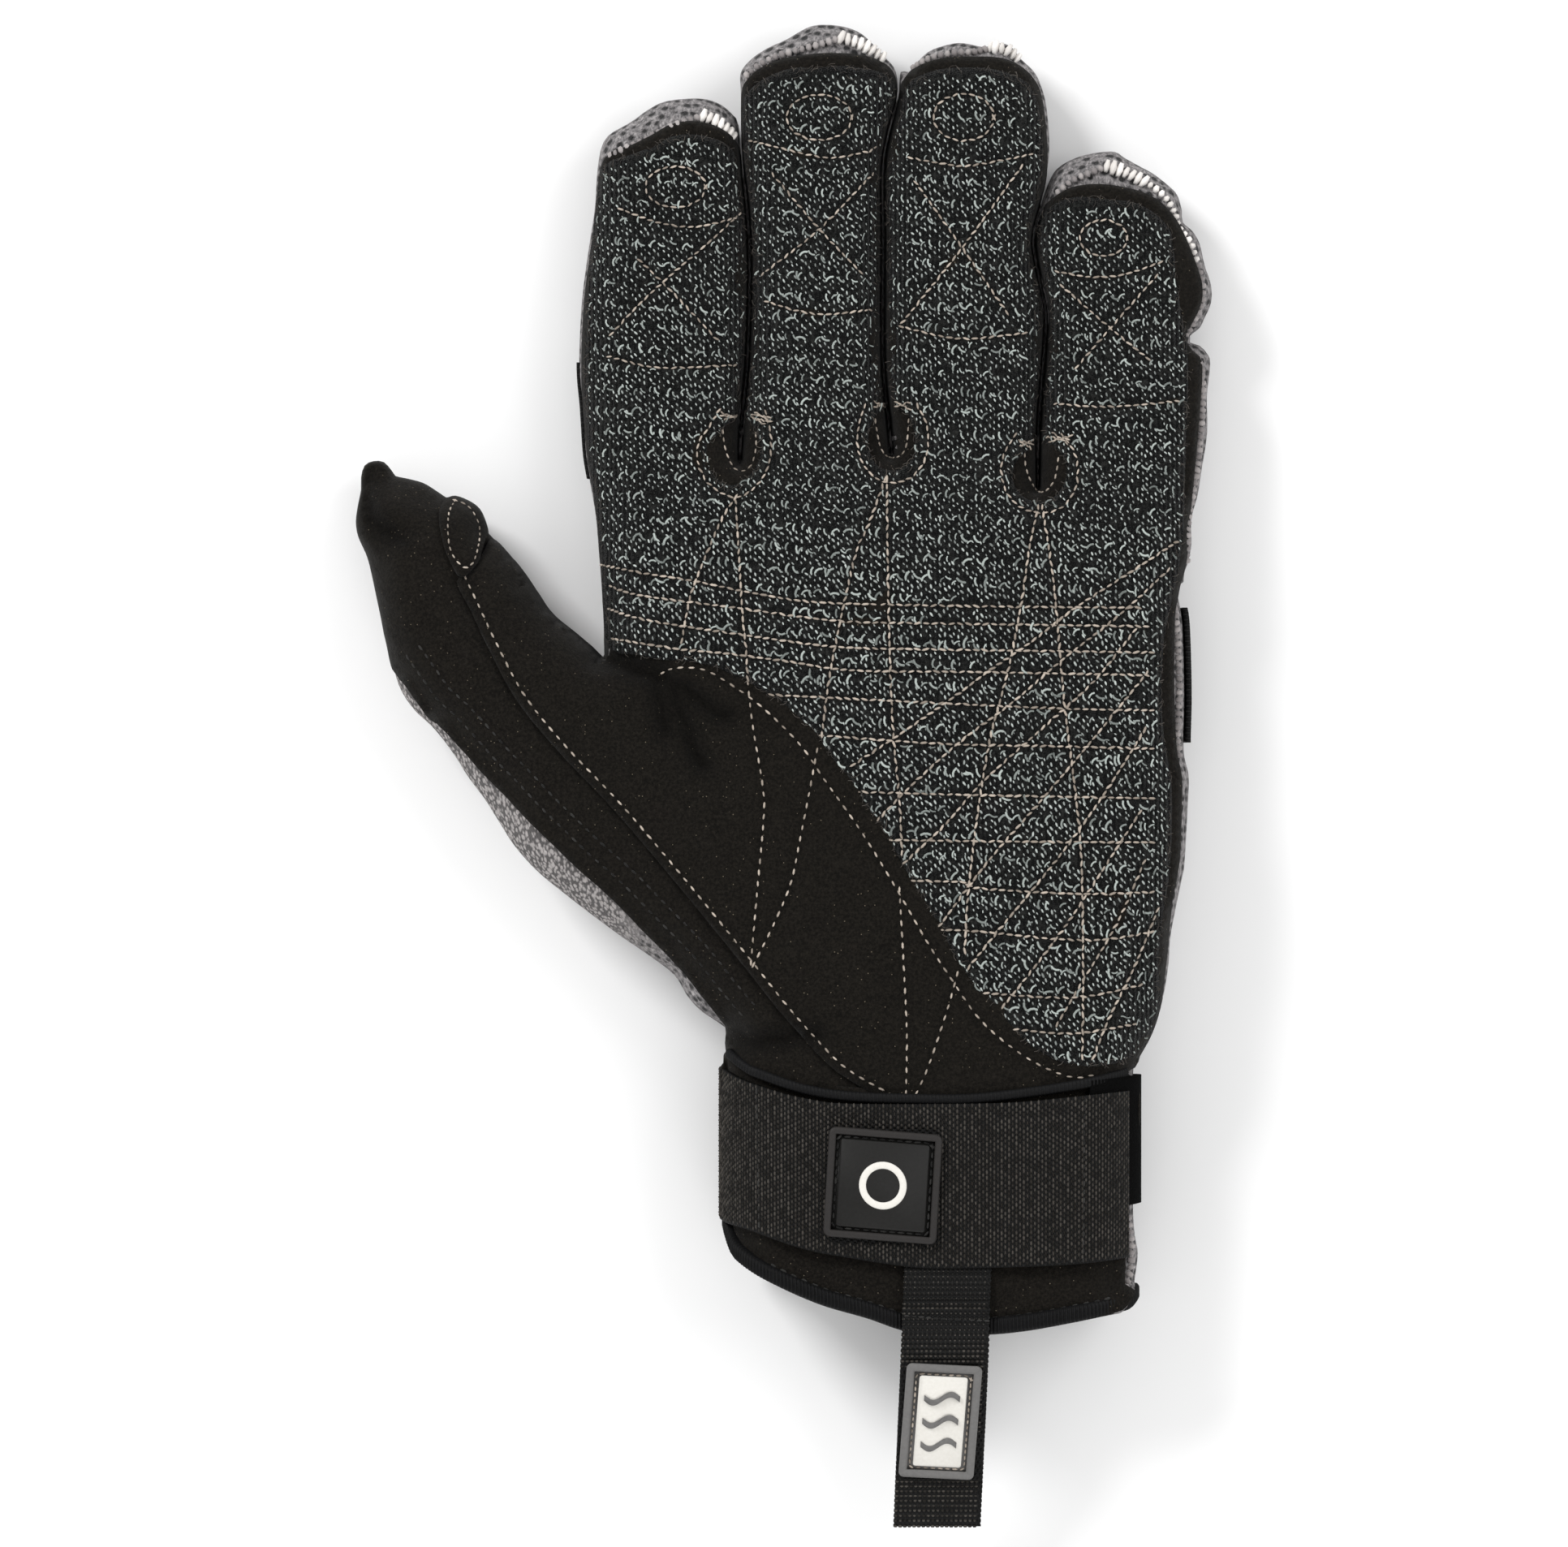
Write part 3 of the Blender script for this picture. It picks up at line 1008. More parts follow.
# The hole lies a little inside the suede's outer boundary, so the suede laps over the mesh
WRIST_RIGHT = [(1390, 1345), (1388, 1480), (1385, 1560)]
WRIST_LEFT_INNER = [(912, 1520), (905, 1480), (902, 1400), (901, 1330), (900, 1290)]
WRIST_STEP = 1.2
HEM_LAP = 2.0
SUEDE_LAP = 0.8
ABOVE_STRAP = 13
palm_side_outline = np.concatenate([
    smooth_line(plan(SUEDE_INNER_THUMB), SUEDE_STEP),
    smooth_line(plan([
        *SUEDE_INDEX, *SUEDE_MIDDLE, *SUEDE_RING, *SUEDE_LITTLE, *SUEDE_HAND[:ABOVE_STRAP],
    ]), SUEDE_STEP),
    smooth_line(plan(WRIST_RIGHT), WRIST_STEP),
    beside(hem, HEM_LAP)[6:-6],
    smooth_line(plan(WRIST_LEFT_INNER), WRIST_STEP),
    mesh_seam[::-1],
    thumb_edge[:, :2],
])
under_palm = beside(closed(palm_side_outline), SUEDE_LAP)[:-1]
back_shell = hand_shell("mesh_back", under_palm, MESH_SPACING, spacer)

# %% [markdown]
# ## Stitches and yarn by Geometry Nodes
# A stitch is a short plump thread that repeats along a line. One tree lays copies at an even
# pitch, turns each along its line, varies it a little with a fixed seed, and ends in Realize
# Instances and Set Material, so that the result is a plain mesh.

# %% The tree that lays threads along lines
def new_tree(name, sockets):
    """A node group with the named inputs, their identifiers, and its input node."""
    tree = bpy.data.node_groups.new(name, "GeometryNodeTree")
    tree.interface.new_socket(name="Geometry", in_out="OUTPUT", socket_type="NodeSocketGeometry")
    ids = {}
    for title, kind in sockets.items():
        socket = tree.interface.new_socket(name=title, in_out="INPUT", socket_type="NodeSocket" + kind)
        ids[title] = socket.identifier
    return tree, ids, add(tree, "NodeGroupInput").outputs


def vary_and_finish(tree, material, instances, seed):
    """Gives each instance a shade, then makes the result plain and sets its material."""
    shade = add(tree, "FunctionNodeRandomValue", {"data_type": "FLOAT"}, Seed=seed)
    kept = add(tree, "GeometryNodeStoreNamedAttribute", {"data_type": "FLOAT", "domain": "INSTANCE"},
               Geometry=instances, Name="shade", Value=shade.outputs[1])
    plain = add(tree, "GeometryNodeRealizeInstances", Geometry=kept.outputs[0])
    dressed = add(tree, "GeometryNodeSetMaterial", Geometry=plain.outputs[0], Material=material)
    output = add(tree, "NodeGroupOutput")
    tree.links.new(dressed.outputs[0], output.inputs[0])


def thread_tree(name, seed):
    """Copies of a thread at an even pitch along lines, each turned a little at random."""
    tree, ids, given = new_tree(name, {
        "Lines": "Geometry", "Pitch": "Float", "Size": "Vector", "Swing": "Float", "Material": "Material",
    })
    curve = add(tree, "GeometryNodeMeshToCurve", Mesh=given["Lines"])
    even = add(tree, "GeometryNodeResampleCurve", {"mode": "LENGTH"}, Curve=curve.outputs[0],
               Length=given["Pitch"])
    thread = add(tree, "GeometryNodeMeshUVSphere", Segments=6, Rings=4, Radius=0.5)
    sized = add(tree, "GeometryNodeTransform", Geometry=thread.outputs[0], Scale=given["Size"])
    along = add(tree, "FunctionNodeAlignRotationToVector", {"axis": "X"},
                Vector=add(tree, "GeometryNodeInputTangent").outputs[0])
    upright = add(tree, "FunctionNodeAlignRotationToVector", {"axis": "Z", "pivot_axis": "X"},
                  Rotation=along.outputs[0], Vector=(0, 0, 1))
    turn = add(tree, "FunctionNodeRandomValue", {"data_type": "FLOAT"}, Seed=seed,
               s2=maths(tree, "MULTIPLY", given["Swing"], -1.0), s3=given["Swing"])
    euler = add(tree, "ShaderNodeCombineXYZ", Z=turn.outputs[1])
    turned = add(tree, "FunctionNodeRotateRotation", {"rotation_space": "LOCAL"}, Rotation=upright.outputs[0],
                 Rotate_By=euler.outputs[0])
    laid = add(tree, "GeometryNodeInstanceOnPoints", Points=even.outputs[0], Instance=sized.outputs[0],
               Rotation=turned.outputs[0])
    size = add(tree, "FunctionNodeRandomValue", {"data_type": "FLOAT"}, Seed=seed + 1, s2=0.85, s3=1.12)
    tree.links.new(size.outputs[1], laid.inputs["Scale"])
    vary_and_finish(tree, given["Material"], laid.outputs[0], seed + 2)
    return tree, ids


def grown_by(source, tree, ids, values):
    """Runs a tree on an object and leaves a plain mesh in its place."""
    modifier = source.modifiers.new("nodes", "NODES")
    modifier.node_group = tree
    for name, value in values.items():
        modifier[ids[name]] = value
    bpy.context.view_layer.update()
    graph = bpy.context.evaluated_depsgraph_get()
    result = bpy.data.meshes.new_from_object(source.evaluated_get(graph), depsgraph=graph)
    source.modifiers.remove(modifier)
    old = source.data
    source.data = result
    bpy.data.meshes.remove(old)
    source.data.polygons.foreach_set("use_smooth", [True] * len(source.data.polygons))
    print(source.name, "triangles:", sum(len(p.vertices) - 2 for p in source.data.polygons))
    return source


stitches, stitch_ids = thread_tree("even_stitches", seed=11)


# %% Laying lines on the cloth
RAY_HEIGHT = 60


def straight_down(surface, x, y):
    """Place and normal where a line straight down meets a surface, both None where it misses."""
    return surface.ray_cast(Vector((x * MM, y * MM, RAY_HEIGHT * MM)), Vector((0, 0, -1)))[:2]


def surface_of(objects):
    """A search tree over the top faces of some sheets."""
    verts, faces = [], []
    for made in objects:
        first = len(verts)
        verts.extend(v.co.copy() for v in made.data.vertices)
        faces.extend(tuple(first + i for i in p.vertices) for p in made.data.polygons)
    return BVHTree.FromPolygons(verts, faces)


def laid_on(surface, line, lift):
    """The runs of a line that lie over the surface, as lists of 3-D points in millimetres."""
    runs, current = [], []
    for x, y in line[:, :2]:
        hit, _ = straight_down(surface, x, y)
        if hit is None:
            if len(current) > 2:
                runs.append(current)
            current = []
        else:
            current.append((x, y, hit.z / MM + lift))
    if len(current) > 2:
        runs.append(current)
    return runs


def line_object(name, runs):
    """Runs of points in millimetres as the edges of one mesh."""
    verts, edges = [], []
    for run in runs:
        first = len(verts)
        verts.extend((x * MM, y * MM, z * MM) for x, y, z in run)
        edges.extend((first + i, first + i + 1) for i in range(len(run) - 1))
    mesh = bpy.data.meshes.new(name)
    mesh.from_pydata(verts, edges, [])
    made = bpy.data.objects.new(name, mesh)
    bpy.context.scene.collection.objects.link(made)
    return made


def threaded(name, runs, pitch, size, material, swing):
    """Threads of one size along runs of 3-D points, all in millimetres."""
    return grown_by(line_object(name, runs), stitches, stitch_ids, {
        "Pitch": pitch * MM, "Size": tuple(s * MM for s in size), "Swing": swing, "Material": material,
    })


def stitched(name, surface, lines, pitch, size, material, lift, swing=0.12):
    """Stitches of one size along lines on a surface."""
    runs = [run for line in lines for run in laid_on(surface, line, lift)]
    return threaded(name, runs, pitch, size, material, swing)


# %% Stitches on the knit, the suede and the petal
keyhole_sewing = sewn(KEYHOLE_STITCHES, 0.4)
knit_surface = surface_of([knit_sheet])
suede_surface = surface_of([palm_suede, thumb_suede])
petal_surface = surface_of([petal_sheet])
SEAM_ROWS_IN = (3.4, 6.4)
seam_rows = [beside(mesh_seam[::-1], inset) for inset in SEAM_ROWS_IN]
sewing_stitches = [stitched(*row) for row in (
    # name, surface, lines, pitch, size, thread, lift, swing
    ("palm_row_stitches", knit_surface, palm_rows, 1.55, (1.5, 0.48, 0.42), beige_thread, 0.22, 0.35),
    ("palm_line_stitches", knit_surface, palm_crossings, 1.55, (1.5, 0.48, 0.42), beige_thread, 0.22, 0.35),
    ("finger_stitches", knit_surface, finger_sewing, 1.5, (1.4, 0.42, 0.38), beige_thread, 0.2, 0.35),
    ("suede_stitches", suede_surface, suede_sewing, 2.05, (1.25, 0.42, 0.34), beige_thread, 0.05),
    ("petal_stitches", petal_surface, petal_sewing, 1.6, (1.1, 0.36, 0.3), beige_thread, 0.05),
    ("keyhole_stitches", suede_surface, keyhole_sewing, 1.5, (1.15, 0.4, 0.32), beige_thread, 0.08),
    ("keyhole_tacks", knit_surface, sewn(TACKS, 0.3), 0.8, (1.3, 0.36, 0.36), beige_thread, 0.35, 0.5),
    ("thumb_seam_stitches", suede_surface, seam_rows, 1.9, (1.2, 0.4, 0.32), black_thread, 0.1),
)]

# %% [markdown]
# ## Yarn in the knit
# The knit's grey yarn shows in two ways: as small slanted grains in a staggered lattice, and as
# longer curls that stand up in rows and lean left and right in turn. One tree plants a shape on
# every point of a mesh. The points carry the direction that each copy lies along, the way that
# it faces and its size.

# %% A tree that plants one small shape on every point
def grain_shape(tree):
    """A grain one unit long."""
    return add(tree, "GeometryNodeMeshUVSphere", Segments=6, Rings=2, Radius=0.5).outputs[0]


def arc_shape(tree, radius):
    """An arc of yarn one unit long that stands up in its middle."""
    arc = add(tree, "GeometryNodeCurveQuadraticBezier", Resolution=3, Start=(-0.5, 0, 0),
              Middle=(0, 0.34, 0.34), End=(0.5, 0, 0))
    ring = add(tree, "GeometryNodeCurvePrimitiveCircle", Resolution=4, Radius=radius)
    swept = add(tree, "GeometryNodeCurveToMesh", Curve=arc.outputs[0], Profile_Curve=ring.outputs[0])
    return swept.outputs[0]


def curl_shape(tree):
    return arc_shape(tree, 0.125)


def fibre_shape(tree):
    return arc_shape(tree, 0.035)


def planting_tree(name, shape, seed):
    """Copies of a shape on the points of a mesh, turned and sized by the points' attributes."""
    tree, ids, given = new_tree(name, {"Points": "Geometry", "Size": "Vector", "Material": "Material"})
    sized = add(tree, "GeometryNodeTransform", Geometry=shape(tree), Scale=given["Size"])
    along = add(tree, "GeometryNodeInputNamedAttribute", {"data_type": "FLOAT_VECTOR"}, Name="along")
    up = add(tree, "GeometryNodeInputNamedAttribute", {"data_type": "FLOAT_VECTOR"}, Name="up")
    grown = add(tree, "GeometryNodeInputNamedAttribute", {"data_type": "FLOAT"}, Name="grown")
    lying = add(tree, "FunctionNodeAlignRotationToVector", {"axis": "X"}, Vector=along.outputs[0])
    turned = add(tree, "FunctionNodeAlignRotationToVector", {"axis": "Z", "pivot_axis": "X"},
                 Rotation=lying.outputs[0], Vector=up.outputs[0])
    planted = add(tree, "GeometryNodeInstanceOnPoints", Points=given["Points"], Instance=sized.outputs[0],
                  Rotation=turned.outputs[0])
    tree.links.new(grown.outputs[0], planted.inputs["Scale"])
    vary_and_finish(tree, given["Material"], planted.outputs[0], seed)
    return tree, ids


grains, grain_ids = planting_tree("planted_grains", grain_shape, seed=50)
curls, curl_ids = planting_tree("planted_curls", curl_shape, seed=60)
fibres, fibre_ids = planting_tree("planted_fibres", fibre_shape, seed=70)


def planted_on(name, tree, ids, rows, size, material):
    """Copies of one shape. Each row holds place, along and up, three numbers each, and grown."""
    mesh = bpy.data.meshes.new(name)
    mesh.from_pydata((rows[:, :3] * MM).tolist(), [], [])
    for title, first in (("along", 3), ("up", 6)):
        values = mesh.attributes.new(title, "FLOAT_VECTOR", "POINT").data
        values.foreach_set("vector", np.ascontiguousarray(rows[:, first:first + 3]).ravel())
    grown = np.ascontiguousarray(rows[:, 9])
    mesh.attributes.new("grown", "FLOAT", "POINT").data.foreach_set("value", grown)
    made = bpy.data.objects.new(name, mesh)
    bpy.context.scene.collection.objects.link(made)
    made = grown_by(made, tree, ids, {"Size": tuple(s * MM for s in size), "Material": material})
    for title in ("along", "up", "grown"):
        if title in made.data.attributes:
            made.data.attributes.remove(made.data.attributes[title])
    return made


# %% Lattices of points on the knit
ROW_SLOPE = 0.07
SEWING_CLEAR = 0.5
SEWING_LIMIT = 0.4
TIP_BARE = 1.5
TIPS_FROM_Y = 98
LATTICE_MARGIN = 6
chance = np.random.default_rng(7)


def lattice(column_pitch, row_pitch, stagger, jitter, inset):
    """Points on the knit in sloping rows, with each point's kind of column and its row."""
    low, high = knit_outline.min(axis=0) - LATTICE_MARGIN, knit_outline.max(axis=0) + LATTICE_MARGIN
    columns = np.arange(low[0], high[0], column_pitch)
    rows = np.arange(low[1], high[1], row_pitch)
    places = np.array([
        (x, y + (i % 2) * stagger - ROW_SLOPE * x) for i, x in enumerate(columns) for y in rows
    ])
    odd = np.repeat(np.arange(len(columns)) % 2, len(rows))
    row = np.tile(np.arange(len(rows)), len(columns))
    places += chance.normal(0, jitter, places.shape)
    rim, _ = line_distance(places, closed(knit_outline))
    kept = inside(places, knit_outline) & (rim > inset)
    kept &= pressed(places, knit_sewing, SEWING_CLEAR) < SEWING_LIMIT
    kept &= inside(places + (0, TIP_BARE), knit_outline) | (places[:, 1] < TIPS_FROM_Y)
    return places[kept], odd[kept], row[kept]


def on_knit(places, angles, grown):
    """Rows for planting on the knit, at angles from the X axis."""
    rows = []
    for (x, y), angle, size in zip(places, angles, grown):
        hit, normal = straight_down(knit_surface, x, y)
        if hit is not None:
            up = normal if normal.z > 0 else -normal
            rows.append((x, y, hit.z / MM, math.cos(angle), math.sin(angle), 0, *up, size))
    return np.array(rows)


# The yarn on the palm is a little larger than on the fingers
PALM_TOP_Y = 45

# %% Slanted grains, two rows of them between each row of curls
GRAIN_PITCH = (0.85, 1.3)
GRAIN_JITTER = 0.14
GRAIN_INSET = 0.3
GRAIN_SLANT = 2.05
GRAIN_ROWS = 3
GRAINS_UNDER_CURLS = 0.4
GRAIN_SIZE = (0.78, 0.33, 0.32)
grain_places, _, grain_row = lattice(*GRAIN_PITCH, GRAIN_PITCH[1] / 2, GRAIN_JITTER, GRAIN_INSET)
grain_kept = (grain_row % GRAIN_ROWS > 0) | (chance.random(len(grain_places)) < GRAINS_UNDER_CURLS)
grain_places = grain_places[grain_kept]
grain_grown = chance.uniform(0.7, 1.3, len(grain_places))
grain_grown *= np.where(grain_places[:, 1] < PALM_TOP_Y, 1.12, 0.96)
grain_angles = GRAIN_SLANT + chance.normal(0, 0.22, len(grain_places))
grain_rows = on_knit(grain_places, grain_angles, grain_grown)
knit_grains = planted_on("knit_grains", grains, grain_ids, grain_rows, GRAIN_SIZE, tick_yarn)

# %% Rows of curls that lean left and right in turn
CURL_PITCH = (1.4, GRAIN_ROWS * GRAIN_PITCH[1])
CURL_JITTER = 0.27
CURL_INSET = 0.35
CURL_LEAN = 0.95
CURLS_KEPT = 0.9
CURL_SIZE = (1.7, 1.7, 1.3)
curl_places, odd, _ = lattice(*CURL_PITCH, 0.0, CURL_JITTER, CURL_INSET)
curl_kept = chance.random(len(curl_places)) < CURLS_KEPT
curl_places, odd = curl_places[curl_kept], odd[curl_kept]
curl_angles = np.where(odd == 1, CURL_LEAN, math.pi - CURL_LEAN)
curl_angles += chance.normal(0, 0.42, len(curl_places))
curl_grown = chance.uniform(0.55, 1.0, len(curl_places))
curl_grown *= np.where(curl_places[:, 1] < PALM_TOP_Y, 1.1, 1.0)
curl_rows = on_knit(curl_places, curl_angles, curl_grown)
knit_curls = planted_on("knit_curls", curls, curl_ids, curl_rows, CURL_SIZE, fleck_yarn)

# %% Dark fibres along the knit's raw edge
FIBRE_STEP = 0.3
FIBRE_SPREAD = 0.55
FIBRE_SIZE = (1.5, 1.5, 1.2)
raw_edge = smooth_line(knit_outline, FIBRE_STEP)
fibre_places = raw_edge + chance.normal(0, FIBRE_SPREAD, raw_edge.shape)
fibre_places = fibre_places[inside(fibre_places, knit_outline)]
fibre_angles = chance.uniform(0, 2 * math.pi, len(fibre_places))
fibre_grown = chance.uniform(0.5, 1.3, len(fibre_places))
fibre_rows = on_knit(fibre_places, fibre_angles, fibre_grown)
edge_fibres = planted_on("knit_edge_fibres", fibres, fibre_ids, fibre_rows, FIBRE_SIZE, dark_fibre)

# %% [markdown]
# ## Bands round the wrist
# Strap, velvet pad and hem binding all run round the same soft tube. A loop of points round the
# wrist, moved outwards by each layer's lift, gives their sections, and a grid of such loops
# with a second grid behind it gives a band with thickness and with a flat UV for its weave.

# %% Loops of points round the wrist
WRIST_SIDES = picture_x(897), picture_x(1396)
WRIST_ROUNDING = 13.0


def wrist_loop(angles, y_of_x, lift, inset=0.05):
    """Points round the wrist: angle 0 is the little-finger side, a quarter turn the palm."""
    left, right = WRIST_SIDES
    half = (right - left) / 2 - inset
    x = (left + right) / 2 + half * np.cos(angles)
    y = y_of_x(x)
    low, high = levels(np.column_stack([x, y]))
    middle = (low + high) / 2
    rim = half - np.abs(x - (left + right) / 2)
    rise = np.sqrt(1 - (1 - np.clip(rim / WRIST_ROUNDING, 0, 1))**2)
    top = middle + (high - middle) * rise
    bottom = middle - (middle - low) * np.minimum(1, BOTTOM_FULLNESS * rise)
    z = np.where(np.sin(angles) >= 0, top, bottom)
    run_x, run_z = np.gradient(x), np.gradient(z)
    size = np.maximum(np.hypot(run_x, run_z), 1e-9)
    return np.column_stack([x + lift * run_z / size, y, z - lift * run_x / size])


def run_lengths(points):
    """The length along a run of points, at each of them."""
    return np.concatenate([[0], np.cumsum(np.linalg.norm(np.diff(points, axis=0), axis=1))])


def grid_lengths(grid):
    """Lengths along and across the middle of a grid of points."""
    rows, columns = grid.shape[:2]
    return run_lengths(grid[:, columns // 2]), run_lengths(grid[rows // 2])


def set_weave(made, places):
    """A UV in millimetres for the weave, from each vertex's flat place."""
    layer = made.data.uv_layers.new(name="weave")
    for corner in made.data.loops:
        layer.data[corner.index].uv = places[corner.vertex_index]


def recalculated(made):
    """The object, with its faces turned outwards."""
    work = bmesh.new()
    work.from_mesh(made.data)
    bmesh.ops.recalc_face_normals(work, faces=work.faces)
    work.to_mesh(made.data)
    work.free()
    return made


def grid_band(name, outer, inner, material):
    """A band between two grids of points, rows along its length, closed on all sides."""
    rows, columns = outer.shape[:2]
    verts = np.concatenate([outer.reshape(-1, 3), inner.reshape(-1, 3)])
    shift = rows * columns
    faces = []
    for i in range(rows - 1):
        for j in range(columns - 1):
            a, d = i * columns + j, (i + 1) * columns + j
            b, c = a + 1, d + 1
            faces.append((a, b, c, d))
            faces.append((a + shift, d + shift, c + shift, b + shift))
    border = [(0, j) for j in range(columns)] + [(i, columns - 1) for i in range(1, rows)]
    border += [(rows - 1, j) for j in range(columns - 2, -1, -1)] + [(i, 0) for i in range(rows - 2, 0, -1)]
    flat = [i * columns + j for i, j in border]
    for p, q in zip(flat, flat[1:] + flat[:1]):
        faces.append((q, p, p + shift, q + shift))
    made = mesh_object(name, verts, faces, material)
    along, across = grid_lengths(outer)
    flat_places = [(a, b) for a in along for b in across]
    set_weave(made, flat_places + flat_places)
    return recalculated(made)


# %% The strap and the velvet pad
STRAP_UPPER = smooth_line(plan([
    (880, 1303), (890, 1305), (915, 1324), (952, 1339), (989, 1350), (1045, 1357), (1193, 1357),
    (1267, 1354), (1341, 1346), (1382, 1342), (1410, 1340),
]), 1.0)
STRAP_LOWER = smooth_line(plan([
    (880, 1470), (895, 1474), (902, 1501), (934, 1513), (989, 1535), (1045, 1546), (1119, 1557),
    (1174, 1559), (1304, 1555), (1384, 1546), (1410, 1542),
]), 1.0)
STRAP_END = picture_x(1390)
STRAP_LIFT = 1.2
STRAP_THICK = 1.2
STRAP_INSET = 0.75
STRAP_COLUMNS = 40
STRAP_SLACK = 0.15
STRAP_WAVES = 3
LAST_ANGLE = 0.9


def along_line(line):
    """The line's Y at any X, as a function."""
    order = np.argsort(line[:, 0])
    return lambda x: np.interp(x, line[order, 0], line[order, 1])


upper_y, lower_y = along_line(STRAP_UPPER), along_line(STRAP_LOWER)
trial_angles = np.linspace(0.05, math.pi / 2, 400)
trial_x = wrist_loop(trial_angles, upper_y, STRAP_LIFT + STRAP_THICK, STRAP_INSET)[:, 0]
strap_start = np.interp(-STRAP_END, -trial_x, trial_angles)
strap_angles = np.linspace(strap_start, 2 * math.pi - LAST_ANGLE, 150)


def band_grid(angles, upper, lower, lift, columns, inset):
    """Points round the wrist between two lines, at one lift."""
    rows = []
    for v in np.linspace(0, 1, columns):
        rows.append(wrist_loop(angles, lambda x, v=v: upper(x) * (1 - v) + lower(x) * v, lift, inset))
    return np.stack(rows, axis=1)


def wavy(grid, depth, waves):
    """A little slack along a band's two long edges."""
    columns = grid.shape[1]
    across = np.linspace(-1, 1, columns)
    along = np.linspace(0, waves * 2 * math.pi, grid.shape[0])
    grid = grid.copy()
    grid[:, :, 2] += depth * np.sin(along)[:, None] * (across**2)[None]
    return grid


strap_outer, strap_inner = (
    wavy(band_grid(strap_angles, upper_y, lower_y, lift, STRAP_COLUMNS, STRAP_INSET),
         STRAP_SLACK, STRAP_WAVES)
    for lift in (STRAP_LIFT + STRAP_THICK, STRAP_LIFT)
)
strap = grid_band("wrist_webbing", strap_outer, strap_inner, strap_web)

# %% The velvet pad under the strap's end
PAD_LIFTS = (1.6, 0.5)
PAD_COLUMNS = 20
PAD_INSET = 0.05
PAD_UNDER_STRAP = 0.35
PAD_PAST_UPPER, PAD_PAST_LOWER = 2.6, 9.5
pad_angles = np.linspace(-LAST_ANGLE, strap_start + PAD_UNDER_STRAP, 60)


def pad_lower(x):
    return lower_y(x) + PAD_PAST_LOWER


def pad_upper(x):
    return upper_y(x) + PAD_PAST_UPPER


pad_outer, pad_inner = (
    band_grid(pad_angles, pad_upper, pad_lower, lift, PAD_COLUMNS, PAD_INSET) for lift in PAD_LIFTS
)
pad = grid_band("velvet_pad", pad_outer, pad_inner, velvet)

# %% [markdown]
# ## Beads of yarn on the webbing
# Webbing of this kind shows rows of plump beads, each half a pitch off its neighbours. They are
# planted over the band's grid with the same tree as the knit's yarn, and are left out under
# the rubber plates.

# %% Beads of yarn over a band
BEAD_MARGIN = 0.35
TUCKED_IN = 0.84


def woven(name, grid, pitch_along, pitch_across, stagger, size, bare, material):
    """Beads in rows over a band's grid of points, left out within the bare plan box."""
    along, across = grid_lengths(grid)
    u = np.arange(pitch_along / 2, along[-1], pitch_along)
    last = across[-1] - (BEAD_MARGIN + stagger) * pitch_across
    v = np.arange(BEAD_MARGIN * pitch_across, last, pitch_across)
    u, v = np.meshgrid(u, v, indexing="ij")
    odd = (np.arange(len(u)) % 2)[:, None]
    v = v + odd * stagger * pitch_across
    row = np.interp(u, along, np.arange(len(along)))
    column = np.interp(v, across, np.arange(len(across)))
    i = np.minimum(row.astype(int), len(along) - 2)
    j = np.minimum(column.astype(int), len(across) - 2)
    s, t = (row - i)[..., None], (column - j)[..., None]
    place = (grid[i, j] * (1 - s) * (1 - t) + grid[i + 1, j] * s * (1 - t) + grid[i, j + 1] * (1 - s) * t
             + grid[i + 1, j + 1] * s * t)
    side = grid[i, j + 1] - grid[i, j]
    up = np.cross(grid[i + 1, j] - grid[i, j], side)
    side /= np.linalg.norm(side, axis=-1, keepdims=True)
    up /= np.linalg.norm(up, axis=-1, keepdims=True)
    grown = chance.uniform(0.92, 1.05, u.shape) * np.where(odd * stagger > 0, TUCKED_IN, 1.0)
    rows = np.concatenate([place, side, up, grown[..., None]], axis=-1).reshape(-1, 10)
    low, high = bare
    covered = ((rows[:, :2] > low) & (rows[:, :2] < high)).all(axis=1) & (rows[:, 8] > 0)
    return planted_on(name, grains, grain_ids, rows[~covered], size, material)


UNDER_BADGE = plan([(1022, 1528), (1152, 1388)])
STRAP_BEAD = (1.02, 0.47, 0.54)
strap_beads = woven("strap_weave", strap_outer, pitch_along=0.68, pitch_across=0.94, stagger=0.5,
                    size=STRAP_BEAD, bare=UNDER_BADGE, material=web_yarn)

# %% Stitches on the strap
strap_surface = surface_of([strap])
STRAP_COLUMNS_SEWN = [
    [(932, 1342), (933, 1400), (934, 1460), (935, 1506)],
    [(1334, 1352), (1333, 1400), (1333, 1470), (1332, 1548)],
]
strap_stitches = stitched("strap_stitches", strap_surface, sewn(STRAP_COLUMNS_SEWN), 1.5, (1.2, 0.45, 0.35),
                          black_thread, lift=0.05)

# %% [markdown]
# ## Ribbed bindings
# The mouth and the palm's lower edge are bound with a narrow ribbed tape folded over the raw
# edge. A rounded section swept along the edge makes it, and a small swell along the sweep
# gives the ribs.

# %% Sweeping a ribbed tape
TAPE_SIDES = 10
RIB_PITCH = 0.7
RIB_SWELL = 0.14


def joined_rings(count, sides, closed_up):
    """Faces between rings of points, from one ring to the next, and on to the first if closed up."""
    faces = []
    for i in range(count if closed_up else count - 1):
        n = (i + 1) % count
        for k in range(sides):
            m = (k + 1) % sides
            faces.append((i * sides + k, i * sides + m, n * sides + m, n * sides + k))
    return faces


